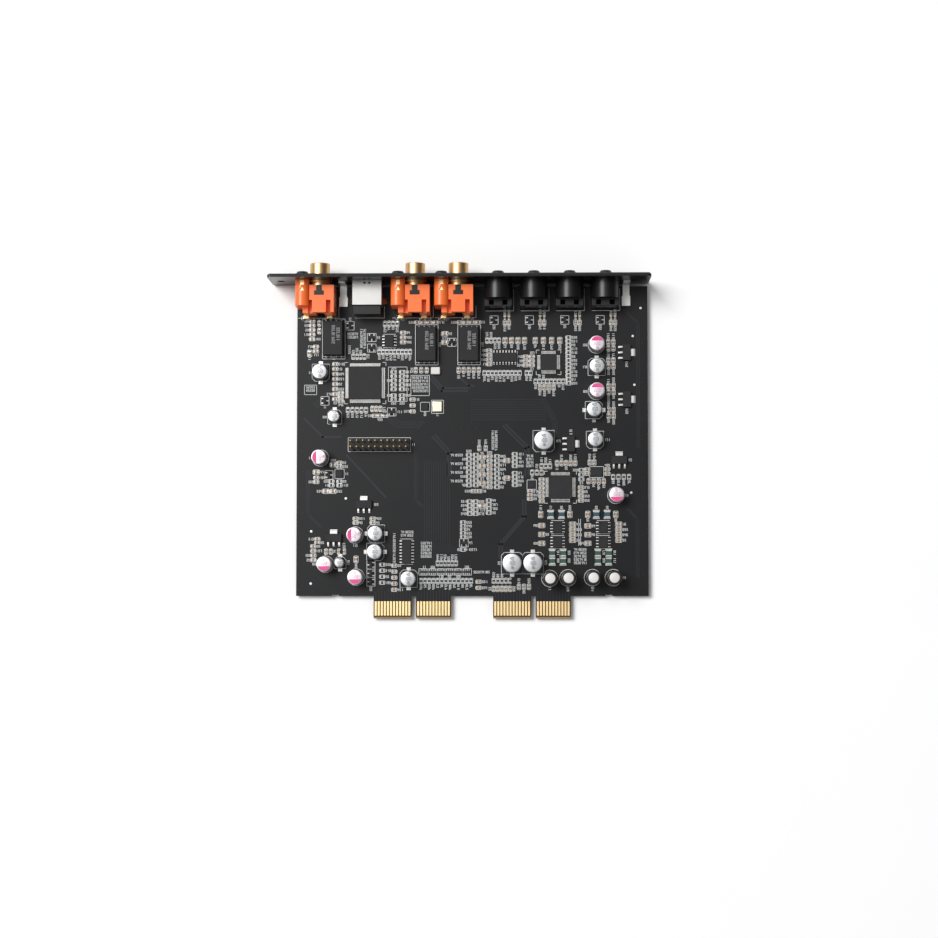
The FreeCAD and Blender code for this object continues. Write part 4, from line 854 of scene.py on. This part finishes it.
# %% [markdown]
# ## Film capacitors
# The large chips round the amplifiers are layers of film in a coloured resin coat. The rear pairs
# are bluish, the front ones green, and bright ends show where they are soldered.

# %% Film blocks and their ends
film_split_line = 28.0
film_end = 0.75
film_pad = 0.4
greens, blues, film_ends = bmesh.new(), bmesh.new(), bmesh.new()
for low, high, _ in solids_in("film_capacitors"):
    coat = blues if low.y > film_split_line else greens
    add_block(coat, (low.x, low.y + film_end, low.z + 0.03), (high.x, high.y - film_end, high.z), 0.12)
    for y0, y1 in ((low.y, low.y + film_end + 0.02), (high.y - film_end - 0.02, high.y)):
        add_block(film_ends, (low.x + 0.05, y0, low.z), (high.x - 0.05, y1, high.z - 0.05), 0.1)
    for y in (low.y, high.y):
        add_block(film_ends, (low.x - pad_border, y - film_pad, board_top),
                  (high.x + pad_border, y + film_pad, board_top + pad_thickness))
place_small("film_blocks_green", greens, "film_green", instead="film_capacitors")
place_small("film_blocks_blue", blues, "film_blue")
place_small("film_ends", film_ends, "solder")
print("film capacitors dressed")

# %% [markdown]
# ## Leads of the square chips
# The three square chips stand on rows of fine leads, bent like a gull's wing: out of the body,
# down, and flat on the pad. One strip is extruded edge by edge, thickened, and stamped along
# all four sides.

# %% Gull-wing leads
def gull_wing(width, reach, rise, thickness):
    """Lead that starts at the body's wall and runs along +Y to its foot on the pad."""
    shape = bmesh.new()
    ends = [shape.verts.new((side * width / 2, -0.1, rise)) for side in (-1, 1)]
    edge = shape.edges.new(ends)
    outwards = (0, 0.1 + 0.3 * reach, 0)
    downwards = (0, 0.15 * reach, 0.5 * thickness - rise)
    along_the_pad = (0, 0.55 * reach, 0)
    for move in (outwards, downwards, along_the_pad):
        made = bmesh.ops.extrude_edge_only(shape, edges=[edge])["geom"]
        verts = [item for item in made if isinstance(item, bmesh.types.BMVert)]
        bmesh.ops.translate(shape, vec=move, verts=verts)
        edge = next(item for item in made if isinstance(item, bmesh.types.BMEdge)
                    and all(vert in verts for vert in item.verts))
    bmesh.ops.solidify(shape, geom=shape.faces[:], thickness=thickness)
    bmesh.ops.recalc_face_normals(shape, faces=shape.faces)
    return pattern_of(shape)


# Leads per side, pitch and width in millimetres
square_chips = {"processor_chip": (32, 0.4, 0.2), "converter_chip": (16, 0.5, 0.24),
                "interface_chip": (12, 0.5, 0.24)}
square_lead_reach = 1.3
square_lead_rise = 0.7
square_lead_thickness = 0.14
fine_leads = bmesh.new()
for node, (count, pitch, width) in square_chips.items():
    low, high = box_of(node)
    middle = (low + high) / 2
    wall = (high.x - low.x) / 2 - 0.05
    lead_pattern = gull_wing(width, square_lead_reach, square_lead_rise, square_lead_thickness)
    for quarter in range(4):
        turn_by = Matrix.Rotation(quarter * math.pi / 2, 4, "Z")
        for step in range(count):
            spot = turn_by @ Vector(((step - (count - 1) / 2) * pitch, wall, 0))
            stamp(fine_leads, lead_pattern, (middle.x + spot.x, middle.y + spot.y, board_top), 90 * quarter)
place_small("square_chip_leads", fine_leads, "tinned_metal")
print("fine leads:", 4 * sum(values[0] for values in square_chips.values()))

# %% [markdown]
# ## A pale coil
# One pale coil stands in front of the second transformer: a wound core cast in white resin.

# %% The pale coil
coil_low, coil_high = (-17.1, 92.2), (-13.3, 95.2)
coil_height = 1.6
coil = bmesh.new()
add_block(coil, (*coil_low, board_top), (*coil_high, board_top + coil_height), 0.25)
place_small("pale_coil", coil, "pale_cap")
print("pale coil placed")

# %% [markdown]
# ## Copper under the mask
# Tracks run under the solder mask as faint raised lines, in bundles that turn at 45 degrees. Every
# edge contact has its own track into the board. Small covered rings are vias to the other side.

# %% Tracks
track_rise = 0.02
fine = 0.22
wide = 0.8
via_shift = 0.45


def add_strip(shape, start, end, width, rise):
    """Thin strip on the board between two points, half its width longer at each end."""
    run = Vector(end) - Vector(start)
    middle = (Vector(start) + Vector(end)) / 2
    place = (Matrix.Translation((*middle, board_top)) @ Matrix.Rotation(math.atan2(run.y, run.x), 4, "Z")
             @ Matrix.Diagonal((run.length + width, width, 2 * rise, 1)))
    bmesh.ops.create_cube(shape, size=1.0, matrix=place)


# Points of the first track, tracks in the bundle, shift from one to the next, width
track_bundles = (
    (((-52.2, 58.5), (-36.0, 41.1)), 1, (0, 0), wide),
    (((12.9, 70.6), (22.2, 61.3), (22.2, 50.0)), 2, (1.3, 0.5), wide),
    (((-16.5, 66.2), (-10.0, 59.1), (-10.0, 50.0)), 2, (1.3, 0.5), wide),
    (((-69.9, 73.8), (-62.3, 66.2), (-55.0, 66.2)), 1, (0, 0), wide),
    (((-17.1, 90.2), (-12.7, 85.3), (-2.0, 85.3)), 2, (0.6, 1.2), wide),
    (((-6.2, 91.8), (-1.3, 87.5), (0.6, 87.5)), 1, (0, 0), wide),
    (((21.1, 39.5), (21.1, 32.9), (11.3, 21.5), (11.3, 16.0)), 2, (1.2, 0), wide),
    (((-0.2, 73.3), (30.4, 73.3)), 9, (0, 1.05), fine),
    (((28.7, 80.9), (33.6, 72.2), (33.6, 66.0)), 4, (0.6, 0.3), fine),
    (((-19.8, 55.8), (-19.8, 22.0), (-16.0, 18.0), (-16.0, 12.2)), 12, (0.95, 0), fine),
    (((-36.5, 79.0), (-30.0, 72.5), (-20.0, 72.5)), 5, (-0.5, -0.6), fine),
    (((-52.6, 86.0), (-60.0, 86.0), (-66.0, 80.0)), 4, (0.5, -0.6), fine),
    (((-24.0, 60.0), (-24.0, 40.0), (-21.5, 37.5)), 3, (0.6, 0), fine),
    (((62.0, 120.0), (68.5, 113.5), (68.5, 62.0)), 3, (0.6, 0), fine),
    (((64.0, 36.0), (68.0, 32.0), (68.0, 8.0)), 3, (0.6, 0), fine),
    (((-69.0, 52.0), (-69.0, 34.0), (-64.0, 29.0)), 3, (0.6, 0), fine),
)
tracks = bmesh.new()
via_places = []
for points, count, step, width in track_bundles:
    for number in range(count):
        places = [(x + number * step[0], y + number * step[1]) for x, y in points]
        for start, end in zip(places, places[1:]):
            add_strip(tracks, start, end, width, track_rise)
        for x, y in (places[0], places[-1]):
            via_places.append((x, y + (via_shift if number % 2 else -via_shift)))
for number, solid in enumerate(solids_in("edge_contacts_upper")):
    x = middle_of(solid).x
    end = 1.6 + 0.9 * (number % 3)
    add_strip(tracks, (x, solid[1].y), (x, end), fine, track_rise)
    via_places.append((x, end))
place_small("covered_tracks", tracks, "covered_copper")
print("track bundles:", len(track_bundles))

# %% Vias
# First place, step to the next and count of each row
via_rows = (
    ((-35.9, 94.3), (0, -1.96), 8), ((-56.0, 62.0), (3.0, 0), 4), ((-8.0, 70.0), (3.2, 0), 5),
    ((60.5, 112.0), (0, -9.5), 8), ((-70.5, 112.0), (0, -8.6), 12), ((70.8, 105.0), (0, -8.0), 13),
    ((-66.0, 2.0), (7.5, 0), 4), ((22.0, 40.0), (0, -3.0), 4), ((0.0, 64.0), (2.6, -2.6), 5))
for start, step, count in via_rows:
    via_places += [(start[0] + i * step[0], start[1] + i * step[1]) for i in range(count)]
via_profile = [(0.13, -0.05), (0.13, 0.024), (0.27, 0.024), (0.31, -0.05), (0.13, -0.05)]
via_pattern = turned_pattern(via_profile, 10)
vias = bmesh.new()
for x, y in via_places:
    for z in (board_top, board_under + 0.026):
        stamp(vias, via_pattern, (x, y, z))
place_small("via_rings", vias, "covered_copper")
print("vias:", len(via_places))

# %% [markdown]
# ## White printing
# The legend on a board is a thin layer of ink: outlines round the parts, a number beside each, and
# marks for the first pin. Strips and rings a few hundredths of a millimetre high do for outlines.

# %% Outlines of cans, transformers and header
ink_rise = 0.025
line_width = 0.17
base_gap = 0.3
corner_cut = 1.25
corner_reach = 0.4
transformer_gap = 0.45


def add_line(shape, start, end, width=line_width):
    add_strip(shape, start, end, width, ink_rise)


def add_outline(shape, points, width=line_width):
    for start, end in zip(points, points[1:] + points[:1]):
        add_line(shape, start, end, width)


def frame_round(low, high, gap_x, gap_y):
    x0, y0, x1, y1 = low.x - gap_x, low.y - gap_y, high.x + gap_x, high.y + gap_y
    return [(x0, y0), (x1, y0), (x1, y1), (x0, y1)]


def ring_of_ink(radius):
    inner, outer = radius - line_width / 2, radius + line_width / 2
    return turned_pattern([(inner, -ink_rise), (inner, ink_rise), (outer, ink_rise),
                           (outer, -ink_rise), (inner, -ink_rise)])


outlines = bmesh.new()
for low, high, points in solids_in("capacitor_bases"):
    corners = frame_round(low, high, base_gap, base_gap)
    shaped = []
    for index, (x, y) in enumerate(corners):
        base_corner = Vector((min(max(x, low.x), high.x), min(max(y, low.y), high.y)))
        if any((base_corner - point.xy).length < corner_reach for point in points):
            shaped.append((x, y))
            continue
        for other in (corners[index - 1], corners[(index + 1) % 4]):
            step = (Vector(other) - Vector((x, y))).normalized() * corner_cut
            shaped.append((x + step.x, y + step.y))
    add_outline(outlines, shaped)
ring_pattern = ring_of_ink(polymer_radius + 0.3)
for solid in polymer_cans + sleeved:
    stamp(outlines, ring_pattern, at_height(solid, board_top))
for low, high, _ in solids_in("pulse_transformers"):
    add_outline(outlines, frame_round(low, high, transformer_gap, 1.3), 0.2)
    add_line(outlines, (low.x - transformer_gap, low.y - 0.3), (high.x + transformer_gap, low.y - 0.3))
for node, gap in (("header_strip", 0.35), ("clock_oscillator", 0.5), ("leadless_chips", 0.45),
                  ("resistor_arrays", 0.55)):
    for low, high, _ in solids_in(node):
        add_outline(outlines, frame_round(low, high, gap, gap))
print("outlines of cans, transformers and header drawn")

# %% Frames round groups of parts and beside the sockets
group_frames = (((-34.9, 81.0), (-27.1, 95.4)), ((-70.0, 83.9), (-64.9, 87.9)),
                ((-25.5, 83.4), (-17.8, 91.9)))
for low, high in group_frames:
    add_outline(outlines, frame_round(Vector(low), Vector(high), 0, 0))
optical_line = 118.8
optical_line_end = 128.0
for housing in optical_housings:
    low, high = box_of(housing)
    right = high.x + 0.8
    add_line(outlines, (right, optical_line), (right, optical_line_end))
    add_line(outlines, (low.x + 0.4, optical_line), (right, optical_line))
socket_line = 116.0
socket_line_end = 121.0
for node in ("coax_housing_1", "coax_housing_2", "coax_housing_3", "usb_insulator"):
    low, high = box_of(node)
    right = high.x + 1.0
    add_line(outlines, (low.x, socket_line), (right, socket_line))
    add_line(outlines, (right, socket_line), (right, socket_line_end))
for x in (44.2, 45.0):
    add_line(outlines, (x, 20.9), (x, 31.8))
print("frames round groups and beside sockets drawn")

# %% Frames of transistors and marks at the chips
transistor_longest = 3.2
transistor_gap = 0.35
lead_room = 1.05
for low, high, _ in solids_in("regulators"):
    size = high - low
    if max(size.xy) < transistor_longest:
        gaps = (transistor_gap, lead_room) if size.x > size.y else (lead_room, transistor_gap)
        add_outline(outlines, frame_round(low, high, *gaps))
tick = 1.3
tick_gap = square_lead_reach + 0.35
for node in square_chips:
    low, high = box_of(node)
    for x, y in frame_round(low, high, tick_gap, tick_gap):
        inward_x = tick if x < (low.x + high.x) / 2 else -tick
        inward_y = tick if y < (low.y + high.y) / 2 else -tick
        add_line(outlines, (x, y), (x + inward_x, y))
        add_line(outlines, (x, y), (x, y + inward_y))
end_gap = 0.3
end_reach = 0.6


def lies_along_x(low, high):
    return high.x - low.x > high.y - low.y


def lines_beside(low, high, along_x, gap, reach):
    """Two lines on opposite sides of a part, along X or along Y."""
    if along_x:
        return [((low.x - reach, y), (high.x + reach, y)) for y in (low.y - gap, high.y + gap)]
    return [((x, low.y - reach), (x, high.y + reach)) for x in (low.x - gap, high.x + gap)]


for node in ("sixteen_pin_chips", "eight_pin_chips"):
    for low, high, _ in solids_in(node):
        for line in lines_beside(low, high, not lies_along_x(low, high), end_gap, end_reach):
            add_line(outlines, *line)
place_small("printed_outlines", outlines, "white_ink")
print("outlines placed")

# %% [markdown]
# ## Numbers beside the parts
# A board gives every part a number. Seven-bar figures are quick to build from blocks, and each
# number takes the first clear spot beside its part, as a layout program would do it.

# %% Figures
figure_width = 0.58
figure_height = 1.08
figure_stroke = 0.16
figure_gap = 0.18
figure_step = figure_width + figure_gap
bars_of = {"0": "abcdef", "1": "bc", "2": "abged", "3": "abgcd", "4": "fgbc", "5": "afgcd",
           "6": "afgedc", "7": "abc", "8": "abcdefg", "9": "abcdfg"}


def figure_patterns(scale):
    """Pattern of each figure, its left side at the origin and half its height above it."""
    w, h, s = (scale * value for value in (figure_width, figure_height, figure_stroke))
    spans = {"a": (0, w, h - s, h), "b": (w - s, w, h / 2, h), "c": (w - s, w, 0, h / 2), "d": (0, w, 0, s),
             "e": (0, s, 0, h / 2), "f": (0, s, h / 2, h), "g": (0, w, (h - s) / 2, (h + s) / 2)}
    patterns = {}
    for figure, bars in bars_of.items():
        shape = bmesh.new()
        for x0, x1, y0, y1 in (spans[bar] for bar in bars):
            add_block(shape, (x0, y0 - h / 2, -ink_rise), (x1, y1 - h / 2, ink_rise))
        patterns[figure] = pattern_of(shape)
    return patterns


board_figures = figure_patterns(1.0)


def add_number(shape, text, x, y, z, degrees=0.0, patterns=board_figures, step=figure_step):
    """Writes a number with its middle at x, y."""
    turn_by = Matrix.Rotation(math.radians(degrees), 4, "Z")
    start = -(len(text) * step - figure_gap) / 2
    for place, figure in enumerate(text):
        spot = turn_by @ Vector((start + place * step, 0, 0))
        stamp(shape, patterns[figure], (x + spot.x, y + spot.y, z), degrees)


print("figures ready:", len(board_figures))

# %% Clear spots
part_gap = 0.2
edge_gap = 0.6
print_room = 8.0
taken = []


def take(low, high, gap):
    taken.append((low[0] - gap, low[1] - gap, high[0] + gap, high[1] + gap))


for node in card:
    if node not in ("main_board", "rear_panel", "edge_contacts_lower"):
        for low, high, _ in solids_in(node):
            if low.z < print_room:
                take(low, high, part_gap)
for node in square_chips:
    take(*box_of(node), square_lead_reach + part_gap)
for place in tab_pad_ends:
    take(place, place, tab_pad_half)
take(coil_low, coil_high, 0)


def is_clear(x0, y0, x1, y1):
    inside = (board_low.x + edge_gap < x0 and x1 < board_high.x - edge_gap
              and edge_gap < y0 and y1 < board_high.y - edge_gap)
    return inside and all(x1 < a or x0 > c or y1 < b or y0 > d for a, b, c, d in taken)


def write_if_clear(shape, text, x, y, wide, tall, degrees):
    """Writes a number on the board if its area is clear, and takes that area."""
    spot = (x - wide / 2, y - tall / 2, x + wide / 2, y + tall / 2)
    if not is_clear(*spot):
        return False
    add_number(shape, text, x, y, board_top, degrees)
    taken.append(spot)
    return True


print("areas already taken on the board:", len(taken))

# %% Blocks of numbers
numbers = bmesh.new()
row_gap = 0.3
row_step = figure_height + row_gap
# Corners of each block of numbers and the turn of its figures
number_blocks = (
    ((-25.2, 83.7), (-18.1, 91.6), 0), ((-69.6, 84.2), (-65.3, 87.7), 0), ((1.2, 84.7), (4.2, 94.0), 90),
    ((22.2, 52.6), (25.8, 60.2), 0), ((8.0, 60.2), (10.7, 68.9), 90), ((0.4, 8.4), (7.5, 10.6), 0),
    ((41.8, 12.2), (47.8, 19.9), 0), ((-9.4, 58.0), (-3.4, 59.2), 0), ((-9.4, 54.4), (-3.4, 55.6), 0),
    ((-9.4, 50.8), (-3.4, 52.0), 0), ((-9.4, 47.2), (-3.4, 48.4), 0), ((-21.4, 15.7), (-16.7, 22.6), 0),
    ((-33.0, 13.5), (-31.0, 26.3), 90), ((-29.8, 24.6), (-24.2, 27.2), 0),
    ((-51.9, 100.5), (-45.4, 105.0), 90), ((-51.0, 111.9), (-42.0, 115.4), 0),
    ((-52.2, 106.6), (-47.6, 111.4), 0), ((-46.9, 103.0), (-43.2, 111.4), 90))
rows_written = 0
for (x0, y0), (x1, y1), degrees in number_blocks:
    along, across = (x1 - x0, y1 - y0) if degrees == 0 else (y1 - y0, x1 - x0)
    length = int(along / figure_step)
    for row in range(max(1, int((across + row_gap) / row_step))):
        text = "".join(str((3 * row + 7 * place + length) % 10) for place in range(length))
        away = (row + 0.5) * row_step
        if degrees == 0:
            spot = ((x0 + x1) / 2, y1 - away, along, figure_height)
        else:
            spot = (x0 + away, (y0 + y1) / 2, figure_height, along)
        rows_written += write_if_clear(numbers, text, *spot, degrees)
print("rows of numbers:", rows_written)

# %% Lines beside the chips
side_gap = 0.31
side_reach = 0.2
side_lines = 0
half = line_width / 2
for node in ("chip_resistors", "chip_capacitors"):
    for low, high, _ in solids_in(node):
        for start, end in lines_beside(low, high, lies_along_x(low, high), side_gap, side_reach):
            spot = (start[0] - half, start[1] - half, end[0] + half, end[1] + half)
            if is_clear(*spot):
                add_line(numbers, start, end)
                taken.append(spot)
                side_lines += 1
print("lines beside chips:", side_lines)

# %% Numbers for every part
number_gap = 0.65
# Sides to try one after the other: step in x, step in y, turn of the figures
flat_tries = ((1, 0, 0), (-1, 0, 0), (0, 1, 0), (0, -1, 0))
upright_tries = ((0, -1, 90), (0, 1, 90), (1, 0, 90), (-1, 0, 90))
numbered_nodes = ("chip_resistors", "chip_capacitors", "film_capacitors", "capacitor_bases",
                  "polymer_capacitors", "sleeved_capacitors", "regulators", "sixteen_pin_chips",
                  "eight_pin_chips", "leadless_chips", "clock_oscillator", "resistor_arrays",
                  "pulse_transformers", "header_strip")


def number_near(shape, text, low, high, tries):
    """Puts a number at the first clear side of a part."""
    length = len(text) * figure_step - figure_gap
    for side_x, side_y, degrees in tries:
        wide, tall = (length, figure_height) if degrees == 0 else (figure_height, length)
        x = (low.x + high.x) / 2 + side_x * ((high.x - low.x + wide) / 2 + number_gap)
        y = (low.y + high.y) / 2 + side_y * ((high.y - low.y + tall) / 2 + number_gap)
        if write_if_clear(shape, text, x, y, wide, tall, degrees):
            return True
    return False


written = 0
for node in numbered_nodes:
    for number, (low, high, _) in enumerate(solids_in(node)):
        tries = flat_tries if high.x - low.x >= high.y - low.y else upright_tries
        text = str(101 + (7 * number) % 890) if number % 3 else str(11 + (3 * number) % 88)
        written += number_near(numbers, text, low, high, tries)
place_small("printed_numbers", numbers, "white_ink")
print("numbers written:", written)

# %% [markdown]
# ## Figures on cans and transformers, first-pin marks
# The silver tops carry small grey figures, the polymer ones faded pink figures, and each chip has a
# shallow round mark at its first pin. The figures are sunk into the tops by most of their height.

# %% Figures on the tops
top_scale = 1.3
top_figures = figure_patterns(top_scale)
top_sink = 0.01


def top_number(shape, text, x, y, top, degrees):
    add_number(shape, text, x, y, top - top_sink, degrees, top_figures, top_scale * figure_step)


figures = bmesh.new()
for solid in silver_cans:
    x, y = middle_of(solid).xy
    for text, up in (("40", 1.75), ("100", 0.0), ("16", -1.75)):
        top_number(figures, text, x, y + up, solid[1].z, 0.0)
place_small("can_figures", figures, "grey_ink")
figures = bmesh.new()
for solid in polymer_cans:
    turn_by = Matrix.Rotation(math.radians(mark_turn(solid)), 4, "Z")
    for text, up in (("220", -0.2), ("16", -1.9)):
        place = middle_of(solid) + turn_by @ Vector((0, up, 0))
        top_number(figures, text, place.x, place.y, solid[1].z, mark_turn(solid))
place_small("polymer_figures", figures, "faded_pink")
labels = bmesh.new()
for solid in solids_in("pulse_transformers"):
    x, y = middle_of(solid).xy
    for text, right in (("20418790", 0.2), ("118735", 2.2)):
        top_number(labels, text, x + right, y + 1.4, solid[1].z, 90.0)
place_small("transformer_figures", labels, "pale_ink")
print("figures on cans and transformers placed")

# %% First-pin marks
pin_mark_inset = 0.95
pin_mark_profile = [(0, 0.0), (0.3, 0.0), (0.36, 0.012), (0.42, 0.012), (0.42, -0.02), (0, -0.02)]
pin_mark_pattern = turned_pattern(pin_mark_profile, 20)
pin_marks = bmesh.new()
for node in (*square_chips, "sixteen_pin_chips", "eight_pin_chips"):
    for low, high, _ in solids_in(node):
        stamp(pin_marks, pin_mark_pattern, (low.x + pin_mark_inset, high.y - pin_mark_inset, high.z))
place_small("first_pin_marks", pin_marks, "dark_glaze")
print("pin marks placed")

# %% [markdown]
# ## Bare targets and solder joints
# Round bare spots serve as test points and as targets for the placing machine. Under the board each
# lead ends in a cone of solder with hollow flanks, so a curved profile is spun. The wide legs of
# the coaxial jacks and of the USB socket show a heap of solder on the upper side as well.

# %% Test points and joints
test_places = ((67.0, 108.1), (67.6, 87.7), (66.1, 42.8), (-52.5, 40.5), (-66.9, 26.8))
target_places = ((-67.0, 5.1), (70.3, 119.8))
spot_profile = [(0, -0.02), (0.5, -0.02), (0.5, 0.02), (0.4, 0.03), (0, 0.03)]
joint_profile = [(0, -0.82), (0.3, -0.8), (0.36, -0.5), (0.52, -0.24), (0.78, -0.08), (1.0, -0.02),
                 (1.0, 0.02), (0, 0.02)]
heap_profile = [(0, 0.75), (0.45, 0.7), (0.7, 0.4), (0.95, 0.12), (1.2, 0.02), (1.2, -0.02), (0, -0.02)]
spot_pattern = turned_pattern(spot_profile, 24)
joint_pattern = turned_pattern(joint_profile, 16)
heap_pattern = turned_pattern(heap_profile, 16)
spots, joints = bmesh.new(), bmesh.new()
for x, y in test_places + target_places:
    stamp(spots, spot_pattern, (x, y, board_top))
least_length_below = 0.3
leg_apart = 1.0
leads_through = 0
for node in ("capacitor_leads", "optical_leads", "header_pins", "coax_ground_legs", "coax_contact_1",
             "coax_contact_2", "coax_contact_3", "usb_contacts", "usb_shield"):
    for solid in solids_in(node):
        below = [point for point in solid[2] if point.z < board_under - least_length_below]
        left = [point for point in below if point.x < middle_of(solid).x - leg_apart]
        right = [point for point in below if point.x > middle_of(solid).x + leg_apart]
        for leg in (left, right) if left and right else (below,):
            if leg:
                x, y = (sum(point[axis] for point in leg) / len(leg) for axis in (0, 1))
                stamp(joints, joint_pattern, (x, y, board_under))
                if node in ("coax_ground_legs", "usb_shield"):
                    stamp(joints, heap_pattern, (x, y, board_top))
                leads_through += 1
place_small("test_points", spots, "tinned_metal")
place_small("solder_joints", joints, "solder", 50)
print("joints under the board:", leads_through)
